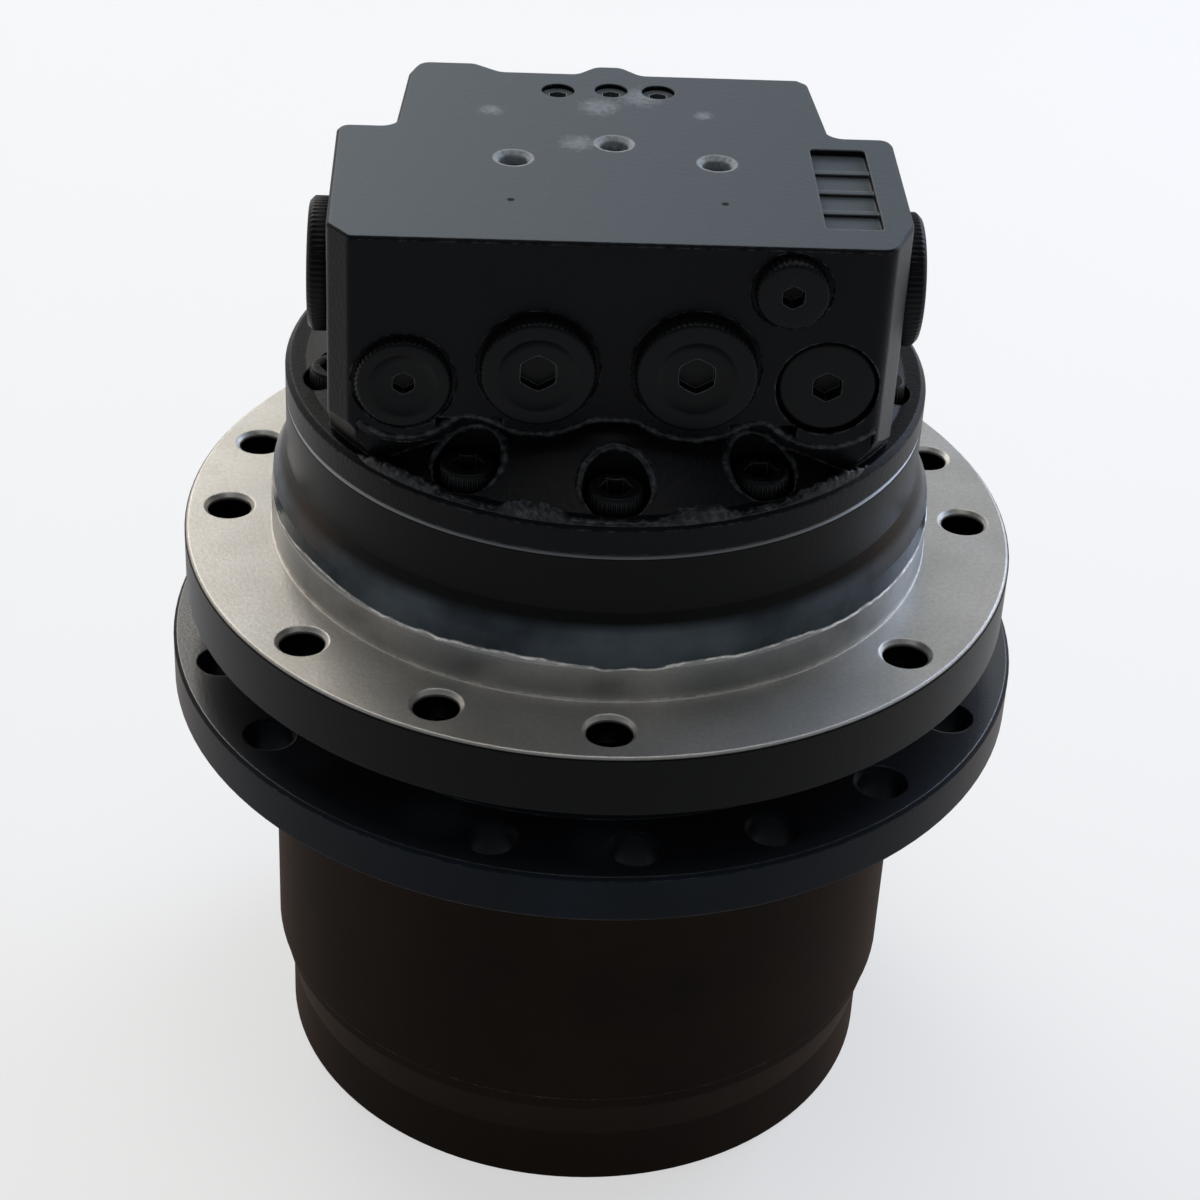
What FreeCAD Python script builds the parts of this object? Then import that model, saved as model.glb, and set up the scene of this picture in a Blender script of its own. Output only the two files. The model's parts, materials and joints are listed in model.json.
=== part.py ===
import FreeCAD, Part
import math
import os

from FreeCAD import Vector

# Travel drive of a tracked excavator. Millimetres, +Z up along the turning axis towards the motor,
# -Y towards the face with the valve plugs. The origin is the centre of the frame flange's mounting
# face, where the machine's track frame bolts on. Angles are measured from -Y towards +X.

# Clearances
running_clearance = 0.05
screw_clearance = 0.05
side_clearance = 0.3
face_gap = 0.3
overlap = 1.0

# Motor casing with its frame flange
casing_radius = 98.6
casing_height = 46.6
pilot_step = 5.0
pilot_radius = casing_radius + pilot_step
pilot_height = 12.0
neck_relief = 0.3
neck_draft = 0.4
neck_height = 19.0
neck_flare = 9.0
frame_hole_inset = 13.7
frame_flange_radius = pilot_radius + 2 * frame_hole_inset
frame_flange_thickness = 20.8
frame_hole_circle_radius = frame_flange_radius - frame_hole_inset
frame_hole_radius = 6.9
frame_hole_chamfer = 1.2
frame_hole_angles = (-110, -90, -50, -25, 0, 50, 90, 110)
edge_chamfer = 1.0
tapped_hole_spare = 3.0

# Spindle and its roller bearings
bearing_radius = 90.0
outer_race_wall = 3.8
roller_space = 9.0
inner_race_wall = 5.2
outer_race_radius = bearing_radius - outer_race_wall
inner_race_radius = outer_race_radius - roller_space
spindle_radius = inner_race_radius - inner_race_wall
spindle_neck_radius = spindle_radius + 6.0
bearing_width = 20.0
bearing_spacing = 8.0
bearing_slope = 12.0
roller_gap = 0.1
roller_count = 20
roller_length_share = 0.72
bearing_spacer_height = 7.0
spindle_bore_radius = 46.0

# Seal chamber between the casing and the hub
seal_face_drop = 1.2
seal_bore_radius = bearing_radius + 4.0
seal_body_radius = seal_bore_radius - 8.0
seal_lip_radius = seal_body_radius + 5.0
seal_inner_radius = seal_body_radius - 5.5
seal_ring_height = 9.0
seal_lip_height = 3.0
seal_chamber_height = 12.5
seal_rubber_height = 6.5
seal_rubber_offset = 1.2
seal_rubber_bevel = 2.0
seal_face_half_gap = 0.05
bearing_seal_gap = 0.5
collar_wall = 7.0
collar_rise = 8.0
collar_step = 1.0
shield_radius = seal_bore_radius + 4.5
collar_inner_radius = shield_radius + 2.5
collar_radius = collar_inner_radius + collar_wall
labyrinth_radius = collar_radius + 3.0

# Motor space inside the casing
brake_bore_radius = 70.0
brake_bore_depth = 22.0
plate_bore_radius = 60.5
plate_bore_depth = 44.0
motor_bore_radius = 50.0
motor_bore_depth = 90.0
shaft_bearing_radius = 31.0
shaft_bearing_width = 14.0
web_thickness = 8.0
web_bore_radius = 21.0
shaft_outer_race = 5.0
shaft_inner_race = 4.0
shaft_roller_count = 12
shaft_roller_end_gap = 2.0

# Hub with the sprocket flange and the ring gear
flange_gap = 18.6
barrel_radius = bearing_radius + 13.8
barrel_fillet = 4.0
sprocket_hole_inset = 14.1
sprocket_flange_radius = barrel_radius + 32.1
sprocket_flange_thickness = 16.0
sprocket_hole_circle_radius = sprocket_flange_radius - sprocket_hole_inset
sprocket_hole_radius = 7.0
sprocket_hole_chamfer = 1.2
sprocket_hole_groups = 3
sprocket_holes_per_group = 5
sprocket_hole_step = 20.0
sprocket_group_middle = 24.3
hub_shoulder_radius = bearing_radius - 6.0
hub_shoulder_width = 7.0
hub_end_gap = 1.0

# Planetary gears
gear_module = 3.0
ring_teeth = 54
sun_teeth = 12
planet_count = 3
first_stage_turn = 90.0
second_stage_turn = 30.0
tooth_addendum = 0.8
tooth_dedendum = 1.05
tooth_backlash = 0.4
pressure_angle = 20.0
flank_steps = 2
second_gear_width = 22.0
first_gear_width = 16.0
planet_side_gap = 1.0
pin_radius = 11.0
bush_wall = 2.5
carrier_radius = 77.0
second_carrier_plate = 9.0
second_carrier_end_plate = 7.0
carrier_gap = 2.0
first_carrier_plate = 7.0
first_carrier_end_plate = 5.0
carrier_post_radius = 9.0
carrier_post_circle_radius = 60.0
carrier_bore_radius = 25.0
first_end_bore_radius = 21.0
sun_bore_radius = 10.5
sun_shaft_radius = 9.0
sun_spline_radius = 17.0
carrier_screw_radius = 4.0
carrier_screw_circle_radius = 59.0
carrier_screw_count = 6
carrier_screw_turn = 30.0
carrier_screw_engagement = 15.0
sun_overhang = 1.0

# End cover
cover_depth = 40.0
cover_radius = 99.2
cover_top_radius = 102.5
cover_joint_chamfer = 0.6
cover_straight = 5.0
cover_taper = 14.0
cover_edge = 1.2
cover_cavity_radius = 79.0
cover_cavity_depth = 12.0
cover_recess_radius = 76.0
cover_recess_depth = 12.0
cover_recess_draft = 3.0
cover_screw_count = 12
cover_screw_circle_radius = 90.8
cover_screw_radius = 4.0
cover_screw_head_radius = 6.5
cover_screw_head_height = 8.0
cover_screw_engagement = 14.0
oil_plug_radius = 9.0
oil_plug_head_radius = 13.0
oil_plug_head_height = 5.0
oil_plug_circle_radius = 55.0
oil_plug_angles = (0, 90, 180)
oil_plug_end_gap = 2.0
thrust_radius = 16.0
thrust_plate_height = 4.0
thrust_button_radius = 7.0

# Valve block
block_top = 130.0
block_front = -70.0
block_front_left = -76.0
block_front_right = 74.5
block_left = -82.5
block_right = 81.5
block_left_chamfer = 8.0
block_right_chamfer = 16.5
block_shoulder = 4.5
neck_left = -62.5
neck_right = 60.0
block_back = 47.0
boss_rise = 6.0
middle_boss_centre = -1.2
corner_boss_centre = -50.5
boss_half_width = 10.0
boss_fillet = 5.0
neck_bevel = 3.0
front_left_fillet = 2.0
front_right_fillet = 5.0
side_fillet = 4.0
right_side_fillet = 9.0
rim_height = 10.0
rim_chamfer = 1.6
flare_start = 94.0
flare_slope = 0.62
skirt_radius = casing_radius - 6.6
skirt_top_radius = 66.0
skirt_height = 16.0
waist_depth = 6.0
waist_half_width = 74.0
waist_top = 74.0
top_edge_chamfer = 0.8
block_screw_angles = (-150, -112, -78, -30, 0, 30, 78, 112, 150)
block_screw_inset = 14.6
block_screw_circle_radius = casing_radius - block_screw_inset
block_screw_radius = 5.0
block_screw_head_radius = 8.0
block_screw_head_height = 10.0
block_screw_seat = 4.5
block_screw_pocket_radius = 10.0
block_screw_engagement = 16.0

# Plugs in the front face: place across and up, head radius, head height and boss width
plug_shank_share = 0.72
plug_boss_width = 6.0
front_plug_depth = 16.0
speed_plug_place = (-60.6, 85.4)
speed_plug_radius = 13.8
left_relief_place = (-22.9, 91.0)
left_relief_radius = 16.4
right_relief_place = (21.6, 91.3)
right_relief_radius = 17.4
brake_plug_place = (59.2, 86.4)
brake_plug_radius = 14.2
brake_plug_boss = 5.4
brake_plug_gap = 0.6
upper_plug_place = (46.7, 117.0)
upper_plug_radius = 10.5
plug_head_height = 5.0
speed_plug_head_height = 3.6
relief_plug_head_height = 6.0
plug_ring_gap = 1.2
plug_chamfer = 1.0
plug_end_gap = 0.5
plug_ring_depth = 0.8
plug_dish_depth = 1.6
plug_dish_share = 0.55
speed_plug_dish = 10.0
left_relief_dish = 9.5
right_relief_dish = 9.0
hex_depth = 5.0
speed_plug_hex = 6.0
relief_plug_hex = 10.0
brake_plug_hex = 8.0
upper_plug_hex = 6.0
speed_plug_hollow = 7.0
speed_plug_wall = 1.5
relief_nose_radius = 7.5
relief_nose_length = 9.0

# Spools in the valve block
spool_y = -30.0
spool_z = 101.5
spool_radius = 8.5
spool_length = 92.0
spool_groove_shares = (0.16, 0.42, 0.68)
spool_groove_share = 0.16
spool_core_share = 0.6
spool_cap_radius = 19.5
spool_cap_height = 6.5
spool_cap_shank_radius = 14.0
spool_cap_shank = 11.0
spool_cap_chamfer = 1.6
spool_cap_hex = 14.0
spring_wall = 1.2
spring_side_gap = 1.0
speed_spool_radius = 5.5
speed_spool_length = 38.0
speed_groove_shares = (0.3, 0.65)
speed_groove_width = 5.0
speed_groove_depth = 2.5
speed_bore_depth = 62.0

# Holes in the block's top face and back face
top_hole_places = ((-30.8, -16.0), (-1.2, -4.2), (28.3, -16.0))
top_hole_radius = 4.25
top_hole_depth = 18.0
top_hole_chamfer = 1.2
gallery_plug_places = ((-17.1, 33.3), (-0.9, 34.5), (13.4, 34.1))
gallery_plug_radius = 5.0
gallery_plug_length = 7.0
gallery_plug_sink = 1.5
gallery_plug_hex = 5.0
gallery_hex_depth = 4.0
recess_left = 56.2
recess_right = 72.5
recess_front = -57.0
recess_back = -4.0
recess_depth = 2.4
recess_rib_count = 3
recess_rib_width = 2.4
recess_rib_height = 1.2
recess_corner_radius = 1.5
main_port_places = ((-30.0, 96.0), (28.0, 96.0))
main_port_radius = 9.4
main_port_depth = 20.0
main_port_face_radius = 16.0
drain_port_places = ((-26.0, 69.0), (26.0, 69.0))
drain_port_radius = 7.6
drain_port_depth = 14.0
drain_port_face_radius = 11.0
pilot_port_place = (47.5, 116.5)
pilot_port_radius = 5.8
pilot_port_depth = 13.0
pilot_port_face_radius = 8.8
port_face_depth = 1.0

# Motor parts
block_bore_count = 9
piston_circle_radius = 31.0
piston_radius = 8.5
cylinder_block_radius = 43.5
cylinder_block_length = 48.0
cylinder_block_neck = 6.0
cylinder_port_radius = 4.25
valve_plate_thickness = 5.7
valve_plate_radius = 42.0
valve_plate_bore_radius = 14.0
kidney_half_width = 3.8
kidney_bar_width = 16.0
shaft_radius = 13.0
shaft_end_radius = 10.0
shaft_end_length = 14.0
shaft_step_gap = 1.0
upper_bearing_wall = 6.0
shaft_bearing_seat_radius = 15.0
coupling_radius = 17.0
coupling_length = 10.0
shaft_stub = 8.0
coupling_gap = 2.0
swash_radius = 44.0
swash_bore_radius = 18.0
swash_thickness = 20.0
swash_flat_depth = 6.0
swash_flat_height = 9.0
slipper_radius = 10.0
slipper_height = 5.0
slipper_neck_radius = 5.5
retainer_thickness = 2.0
retainer_lift = 1.2
piston_reach_share = 0.6
brake_disc_thickness = 2.4
brake_disc_outer_radius = 58.0
brake_plate_thickness = 3.0
brake_plate_inner_radius = 47.0
brake_plate_count = 3
brake_piston_inner_radius = 47.0
brake_piston_top_gap = 4.0
brake_step_gap = 2.5
brake_spring_count = 8
brake_spring_radius = 4.2
brake_spring_circle_radius = 61.0
brake_spring_depth = 16.0
brake_spring_gap = 0.4

# Shares that every socket head screw keeps
head_chamfer_share = 0.1
socket_depth_share = 0.6

# Levels worked out from the sizes above
flange_under = -frame_flange_thickness
sprocket_face = flange_under - flange_gap
sprocket_under = sprocket_face - sprocket_flange_thickness
seal_plane = flange_under - seal_face_drop
bearing_top = seal_plane - seal_chamber_height - bearing_seal_gap
bearing_bottom = bearing_top - 2 * bearing_width - bearing_spacing
second_plate_bottom = bearing_bottom - second_carrier_plate
second_gear_top = second_plate_bottom - planet_side_gap
second_gear_bottom = second_gear_top - second_gear_width
second_end_top = second_gear_bottom - planet_side_gap
second_end_bottom = second_end_top - second_carrier_end_plate
first_plate_top = second_end_bottom - carrier_gap
first_plate_bottom = first_plate_top - first_carrier_plate
first_gear_top = first_plate_bottom - planet_side_gap
first_gear_bottom = first_gear_top - first_gear_width
first_end_top = first_gear_bottom - planet_side_gap
first_end_bottom = first_end_top - first_carrier_end_plate
hub_bottom = first_end_bottom - hub_end_gap
cover_bottom = hub_bottom - cover_depth
cover_floor = hub_bottom - cover_cavity_depth
cover_recess_top = cover_bottom + cover_recess_depth
motor_floor = casing_height - motor_bore_depth
web_top = motor_floor - shaft_bearing_width
web_bottom = web_top - web_thickness
rim_top = casing_height + rim_height
planet_teeth = (ring_teeth - sun_teeth) // 2
centre_distance = gear_module * (sun_teeth + planet_teeth) / 2
ring_pitch_radius = gear_module * ring_teeth / 2


def polar(radius, angle, z=0.0):
    """Point at a radius and an angle in degrees from -Y towards +X."""
    turn = math.radians(angle)
    return Vector(radius * math.sin(turn), -radius * math.cos(turn), z)


def turned(points):
    """Solid of revolution about Z of a closed outline given as (radius, z) points."""
    corners = [Vector(radius, 0, z) for radius, z in points]
    outline = Part.Face(Part.makePolygon(corners + corners[:1]))
    return outline.revolve(Vector(0, 0, 0), Vector(0, 0, 1), 360)


def tube(outer, inner, bottom, top):
    """Plain ring between two radii and two levels."""
    return turned([(inner, bottom), (outer, bottom), (outer, top), (inner, top)])


def post(radius, bottom, top, place):
    """Upright cylinder at a point in plan."""
    return Part.makeCylinder(radius, top - bottom, Vector(place.x, place.y, bottom))


def chamfered_hole(radius, chamfer, bottom, top, place, both=False):
    """Tool for an upright hole whose top edge, or both edges, are chamfered."""
    tools = [post(radius, bottom - overlap, top + overlap, place)]
    spot = Vector(place.x, place.y, top - chamfer)
    tools.append(Part.makeCone(radius, radius + 2 * chamfer, 2 * chamfer, spot))
    if both:
        spot = Vector(place.x, place.y, bottom - chamfer)
        tools.append(Part.makeCone(radius + 2 * chamfer, radius, 2 * chamfer, spot))
    return tools[0].fuse(tools[1:])


def hexagon(across_flats, length, base, direction):
    """Hexagonal prism that starts at a base point and runs along a direction."""
    radius = across_flats / math.sqrt(3)
    corners = []
    for index in range(7):
        turn = math.radians(60 * index + 30)
        corners.append(Vector(radius * math.cos(turn), radius * math.sin(turn), 0))
    prism = Part.Face(Part.makePolygon(corners)).extrude(Vector(0, 0, length))
    prism.Placement = FreeCAD.Placement(base, FreeCAD.Rotation(Vector(0, 0, 1), direction))
    return prism


def cap_screw(head_radius, head_height, shank_radius, shank_length, seat, direction):
    """Socket head screw whose head stands on its seat; direction points out of the head."""
    inward = direction * -1
    head = Part.makeCylinder(head_radius, head_height, seat, direction)
    rim = [e for e in head.Edges if abs((e.CenterOfMass - seat).dot(direction) - head_height) < 0.01]
    head = head.makeChamfer(head_radius * head_chamfer_share, rim)
    shank = Part.makeCylinder(shank_radius, shank_length, seat, inward)
    socket_depth = head_height * socket_depth_share
    base = seat + direction * (head_height - socket_depth)
    socket = hexagon(head_radius, socket_depth + overlap, base, direction)
    return head.fuse(shank).cut(socket).removeSplitter()


def rounded_outline(corners, z):
    """Closed wire through (x, y, radius) corners, each rounded by a tangent arc."""
    count = len(corners)
    edges = []
    starts = []
    ends = []
    arcs = []
    for index in range(count):
        x, y, radius = corners[index]
        here = Vector(x, y, z)
        back = Vector(corners[index - 1][0], corners[index - 1][1], z)
        ahead = Vector(corners[(index + 1) % count][0], corners[(index + 1) % count][1], z)
        to_back = (back - here).normalize()
        to_ahead = (ahead - here).normalize()
        if radius == 0:
            starts.append(here)
            ends.append(here)
            arcs.append(None)
            continue
        half = to_back.getAngle(to_ahead) / 2
        reach = radius / math.tan(half)
        bisector = (to_back + to_ahead).normalize()
        middle = here + bisector * (radius / math.sin(half) - radius)
        starts.append(here + to_back * reach)
        ends.append(here + to_ahead * reach)
        arcs.append(middle)
    for index in range(count):
        if arcs[index] is not None:
            edges.append(Part.Arc(starts[index], arcs[index], ends[index]).toShape())
        following = (index + 1) % count
        if (ends[index] - starts[following]).Length > 1e-6:
            edges.append(Part.makeLine(ends[index], starts[following]))
    return Part.Wire(edges)


def involute(angle):
    """Involute function of an angle in radians."""
    return math.tan(angle) - angle


def tooth_half_angle(teeth, radius, thinning):
    """Half the angle that a tooth takes at a radius, less its share of the backlash."""
    pitch = gear_module * teeth / 2
    slant = math.radians(pressure_angle)
    base = pitch * math.cos(slant)
    here = math.acos(min(1.0, base / max(radius, base)))
    full = math.pi / (2 * teeth) + involute(slant) - involute(here)
    return full - thinning / (2 * pitch)


def tooth_outline(teeth, inner, outer, thinning, phase, z):
    """Closed polygon of a toothed wheel; phase is the angle in radians of one tooth's middle."""
    points = []
    for tooth in range(teeth):
        middle = phase + tooth * 2 * math.pi / teeth
        flank = []
        for step in range(flank_steps + 1):
            radius = inner + (outer - inner) * step / flank_steps
            flank.append((radius, tooth_half_angle(teeth, radius, thinning)))
        for radius, half in flank:
            points.append((radius, middle - half))
        for radius, half in reversed(flank):
            points.append((radius, middle + half))
    corners = [Vector(r * math.cos(a), r * math.sin(a), z) for r, a in points]
    return Part.makePolygon(corners + corners[:1])


def gear(teeth, phase, bottom, width):
    """Spur gear about the origin, from its bottom face up."""
    pitch = gear_module * teeth / 2
    root = pitch - tooth_dedendum * gear_module
    tip = pitch + tooth_addendum * gear_module
    outline = tooth_outline(teeth, root, tip, tooth_backlash / 2, phase, bottom)
    return Part.Face(outline).extrude(Vector(0, 0, width))


def planet_angles(first):
    """Angles in radians, from +X, of the planets of one stage."""
    return [math.radians(first) + index * 2 * math.pi / planet_count for index in range(planet_count)]


def planet_phase(angle):
    """Turn of a planet that puts one of its spaces on a tooth of the ring gear."""
    ring_share = angle * ring_teeth / (2 * math.pi)
    return angle - (ring_share + 0.5) * 2 * math.pi / planet_teeth


def sun_phase(angle):
    """Turn of the sun gear that meshes with the planet at an angle."""
    planet_share = (angle + math.pi - planet_phase(angle)) * planet_teeth / (2 * math.pi)
    return angle - (0.5 - planet_share) * 2 * math.pi / sun_teeth


def make_spindle():
    """Motor casing, frame flange and bearing spindle in one casting, bored for the motor."""
    seal_top = seal_plane + seal_chamber_height
    points = [
        (web_bore_radius, web_bottom),
        (spindle_bore_radius, web_bottom),
        (spindle_bore_radius, bearing_bottom),
        (spindle_radius - edge_chamfer, bearing_bottom),
        (spindle_radius, bearing_bottom + edge_chamfer),
        (spindle_radius, bearing_top),
        (spindle_neck_radius, bearing_top),
        (spindle_neck_radius, seal_top),
        (seal_bore_radius, seal_top),
        (seal_bore_radius, flange_under + edge_chamfer),
        (shield_radius, flange_under + edge_chamfer),
        (shield_radius, seal_top),
        (labyrinth_radius, seal_top),
        (labyrinth_radius, flange_under),
        (frame_flange_radius - edge_chamfer, flange_under),
        (frame_flange_radius, flange_under + edge_chamfer),
        (frame_flange_radius, -edge_chamfer),
        (frame_flange_radius - edge_chamfer, 0),
        (pilot_radius, 0),
        (pilot_radius, pilot_height),
        (pilot_radius - neck_relief, pilot_height),
        (pilot_radius - neck_relief - neck_draft, neck_height),
        (casing_radius, neck_height + neck_flare),
        (casing_radius, casing_height - edge_chamfer),
        (casing_radius - edge_chamfer, casing_height),
        (brake_bore_radius, casing_height),
        (brake_bore_radius, casing_height - brake_bore_depth),
        (plate_bore_radius, casing_height - brake_bore_depth),
        (plate_bore_radius, casing_height - plate_bore_depth),
        (motor_bore_radius, casing_height - plate_bore_depth),
        (motor_bore_radius, motor_floor),
        (shaft_bearing_radius, motor_floor),
        (shaft_bearing_radius, web_top),
        (web_bore_radius, web_top),
    ]
    body = turned(points)
    tools = []
    for angle in frame_hole_angles:
        place = polar(frame_hole_circle_radius, angle)
        hole = chamfered_hole(frame_hole_radius, frame_hole_chamfer, flange_under, 0, place, both=True)
        tools.append(hole)
    for angle in block_screw_angles:
        place = polar(block_screw_circle_radius, angle)
        depth = block_screw_engagement + tapped_hole_spare
        radius = block_screw_radius + screw_clearance
        tools.append(post(radius, casing_height - depth, casing_height + overlap, place))
    depth = carrier_screw_engagement + tapped_hole_spare
    for place in carrier_screw_places():
        radius = carrier_screw_radius + screw_clearance
        tools.append(post(radius, bearing_bottom - overlap, bearing_bottom + depth, place))
    return body.cut(tools)


def carrier_screw_places():
    """Points in plan of the screws between the fixed carrier and the spindle."""
    return [polar(carrier_screw_circle_radius, carrier_screw_turn + 360 * index / carrier_screw_count)
            for index in range(carrier_screw_count)]


def plug_boss(place, radius):
    """Horizontal cylinder behind the front face, around a plug."""
    start = Vector(place[0], block_front, place[1])
    return Part.makeCylinder(radius, waist_depth + overlap, start, Vector(0, 1, 0))


def front_hole(place, radius, depth):
    """Tool for a horizontal hole from the front face."""
    start = Vector(place[0], block_front - overlap, place[1])
    return Part.makeCylinder(radius, depth + overlap, start, Vector(0, 1, 0))


def back_hole(place, radius, depth, face_radius):
    """Tool for a port in the back face, with its machined round face cleared out past the rim."""
    outside = casing_radius - block_back
    start = Vector(place[0], block_back + outside, place[1])
    along = Vector(0, -1, 0)
    hole = Part.makeCylinder(radius, outside + depth, start, along)
    face = Part.makeCylinder(face_radius, outside + port_face_depth, start, along)
    return hole.fuse(face)


def block_plan():
    """Outline of the valve block from above: broad at the front, a narrower neck behind."""
    middle = middle_boss_centre
    corner = corner_boss_centre
    half = boss_half_width
    back = block_back
    high = block_back + boss_rise
    slope = boss_rise
    return [
        (block_front_left, block_front, front_left_fillet),
        (block_front_right, block_front, front_right_fillet),
        (block_right, block_front + block_right_chamfer, right_side_fillet),
        (block_right, block_shoulder, side_fillet),
        (neck_right + neck_bevel, block_shoulder, boss_fillet),
        (neck_right, back - neck_bevel, 0),
        (neck_right - neck_bevel, back, 0),
        (middle + half, back, side_fillet),
        (middle + half - slope, high, boss_fillet),
        (middle - half + slope, high, boss_fillet),
        (middle - half, back, side_fillet),
        (corner + half + slope, back, boss_fillet),
        (corner + half - slope / 3, high, boss_fillet),
        (neck_left + neck_bevel, high, boss_fillet),
        (neck_left, back - neck_bevel, boss_fillet),
        (neck_left - neck_bevel, block_shoulder, boss_fillet),
        (block_left, block_shoulder, side_fillet),
        (block_left, block_front + block_left_chamfer, side_fillet),
    ]


def make_valve_block():
    """Cast cover with the counterbalance, relief and speed valves, machined on top."""
    prism = Part.Face(rounded_outline(block_plan(), casing_height))
    prism = prism.extrude(Vector(0, 0, block_top - casing_height))
    top_edges = [e for e in prism.Edges if abs(e.BoundBox.ZMin - block_top) < 0.01]
    prism = prism.makeChamfer(top_edge_chamfer, top_edges)
    reach = block_top - casing_height
    flare = turned([
        (0, casing_height),
        (flare_start - flare_slope * rim_height, casing_height),
        (flare_start + flare_slope * (reach - rim_height), block_top),
        (0, block_top),
    ])
    body = prism.common(flare)
    far = -frame_flange_radius
    waist = Part.makeBox(
        2 * waist_half_width, block_front + waist_depth - far, waist_top - rim_top,
        Vector(-waist_half_width, far, rim_top))
    bosses = [
        plug_boss(speed_plug_place, speed_plug_radius + plug_boss_width),
        plug_boss(left_relief_place, left_relief_radius + plug_boss_width),
        plug_boss(right_relief_place, right_relief_radius + plug_boss_width),
        plug_boss(brake_plug_place, brake_plug_radius + brake_plug_boss),
    ]
    body = body.cut(waist.cut(bosses))
    rim = turned([
        (0, casing_height),
        (casing_radius - cover_joint_chamfer, casing_height),
        (casing_radius, casing_height + cover_joint_chamfer),
        (casing_radius, rim_top - rim_chamfer),
        (casing_radius - rim_chamfer, rim_top),
        (skirt_radius, rim_top),
        (skirt_top_radius, rim_top + skirt_height),
        (0, rim_top + skirt_height),
    ])
    body = body.fuse(rim).removeSplitter()
    seat = casing_height + block_screw_seat
    tools = []
    for angle in block_screw_angles:
        place = polar(block_screw_circle_radius, angle)
        tools.append(post(block_screw_pocket_radius, seat, waist_top, place))
        hole = block_screw_radius + side_clearance
        tools.append(post(hole, casing_height - overlap, seat + overlap, place))
    plugs = [
        (speed_plug_place, speed_plug_radius),
        (left_relief_place, left_relief_radius),
        (right_relief_place, right_relief_radius),
        (upper_plug_place, upper_plug_radius),
    ]
    for place, radius in plugs:
        tools.append(front_hole(place, radius * plug_shank_share + screw_clearance, front_plug_depth))
        tools.append(front_hole(place, radius + plug_ring_gap, plug_ring_depth))
    flush = plug_head_height + plug_ring_depth
    shank = brake_plug_radius * plug_shank_share + screw_clearance
    tools.append(front_hole(brake_plug_place, brake_plug_radius + brake_plug_gap, flush))
    tools.append(front_hole(brake_plug_place, shank, front_plug_depth))
    tools.append(front_hole(speed_plug_place, speed_spool_radius + running_clearance, speed_bore_depth))
    along = Vector(1, 0, 0)
    wide = block_right - block_left
    spool_start = Vector(block_left - overlap, spool_y, spool_z)
    bore = spool_radius + running_clearance
    tools.append(Part.makeCylinder(bore, wide + 2 * overlap, spool_start, along))
    shank_hole = spool_cap_shank_radius + screw_clearance
    tools.append(Part.makeCylinder(shank_hole, spool_cap_shank + overlap, spool_start, along))
    right_start = Vector(block_right - spool_cap_shank, spool_y, spool_z)
    tools.append(Part.makeCylinder(shank_hole, spool_cap_shank + overlap, right_start, along))
    for place in (left_relief_place, right_relief_place):
        nose = relief_nose_radius + screw_clearance
        tools.append(front_hole(place, nose, front_plug_depth + relief_nose_length))
    for x, y in top_hole_places:
        place = Vector(x, y, 0)
        low = block_top - top_hole_depth
        tools.append(chamfered_hole(top_hole_radius, top_hole_chamfer, low, block_top, place))
    for x, y in gallery_plug_places:
        low = block_top - gallery_plug_sink - gallery_plug_length
        radius = gallery_plug_radius + screw_clearance
        tools.append(post(radius, low, block_top + overlap, Vector(x, y, 0)))
    for place in main_port_places:
        tools.append(back_hole(place, main_port_radius, main_port_depth, main_port_face_radius))
    for place in drain_port_places:
        tools.append(back_hole(place, drain_port_radius, drain_port_depth, drain_port_face_radius))
    tools.append(back_hole(pilot_port_place, pilot_port_radius, pilot_port_depth, pilot_port_face_radius))
    seat_top = casing_height + shaft_end_length
    tools.append(post(bearing_seat_radius(), casing_height - overlap, seat_top, Vector()))
    body = body.cut(tools)
    recess = [
        (recess_left, recess_front, recess_corner_radius),
        (recess_right, recess_front, recess_corner_radius),
        (recess_right, recess_back, recess_corner_radius),
        (recess_left, recess_back, recess_corner_radius),
    ]
    hollow = Part.Face(rounded_outline(recess, block_top - recess_depth))
    hollow = hollow.extrude(Vector(0, 0, recess_depth + overlap))
    step = (recess_back - recess_front) / (recess_rib_count + 1)
    ribs = []
    for index in range(recess_rib_count):
        y = recess_front + step * (index + 1) - recess_rib_width / 2
        corner = Vector(recess_left, y, block_top - recess_depth)
        ribs.append(Part.makeBox(recess_right - recess_left, recess_rib_width, recess_rib_height, corner))
    return body.cut(hollow.cut(ribs))


def bearing_seat_radius():
    """Bore in the valve block for the shaft's upper bearing."""
    return shaft_end_radius + upper_bearing_wall


def make_block_screws():
    """Socket head screws that hold the valve block on the casing."""
    screws = []
    length = block_screw_seat + block_screw_engagement
    for angle in block_screw_angles:
        seat = polar(block_screw_circle_radius, angle, casing_height + block_screw_seat)
        screws.append(cap_screw(
            block_screw_head_radius, block_screw_head_height, block_screw_radius, length,
            seat, Vector(0, 0, 1)))
    return screws


def make_front_plug(place, radius, head, across_flats, dish, sink=0.0):
    """Round headed plug screwed into the front face; its face may be dished."""
    out = Vector(0, -1, 0)
    seat = Vector(place[0], block_front + plug_ring_depth + sink, place[1])
    body = Part.makeCylinder(radius, head, seat, out)
    rim = [e for e in body.Edges if abs(e.CenterOfMass.y - (seat.y - head)) < 0.01]
    body = body.makeChamfer(plug_chamfer, rim)
    shank_length = front_plug_depth - plug_ring_depth - sink - plug_end_gap
    shank = Part.makeCylinder(radius * plug_shank_share, shank_length, seat, Vector(0, 1, 0))
    body = body.fuse(shank)
    top = seat + out * head
    if dish > 0:
        floor = top + Vector(0, plug_dish_depth, 0)
        hollow = Part.makeCone(dish * plug_dish_share, dish, plug_dish_depth, floor, out)
        body = body.cut(hollow)
    socket = hexagon(across_flats, hex_depth + overlap, top + Vector(0, hex_depth, 0), out)
    return body.cut(socket).removeSplitter()


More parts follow.
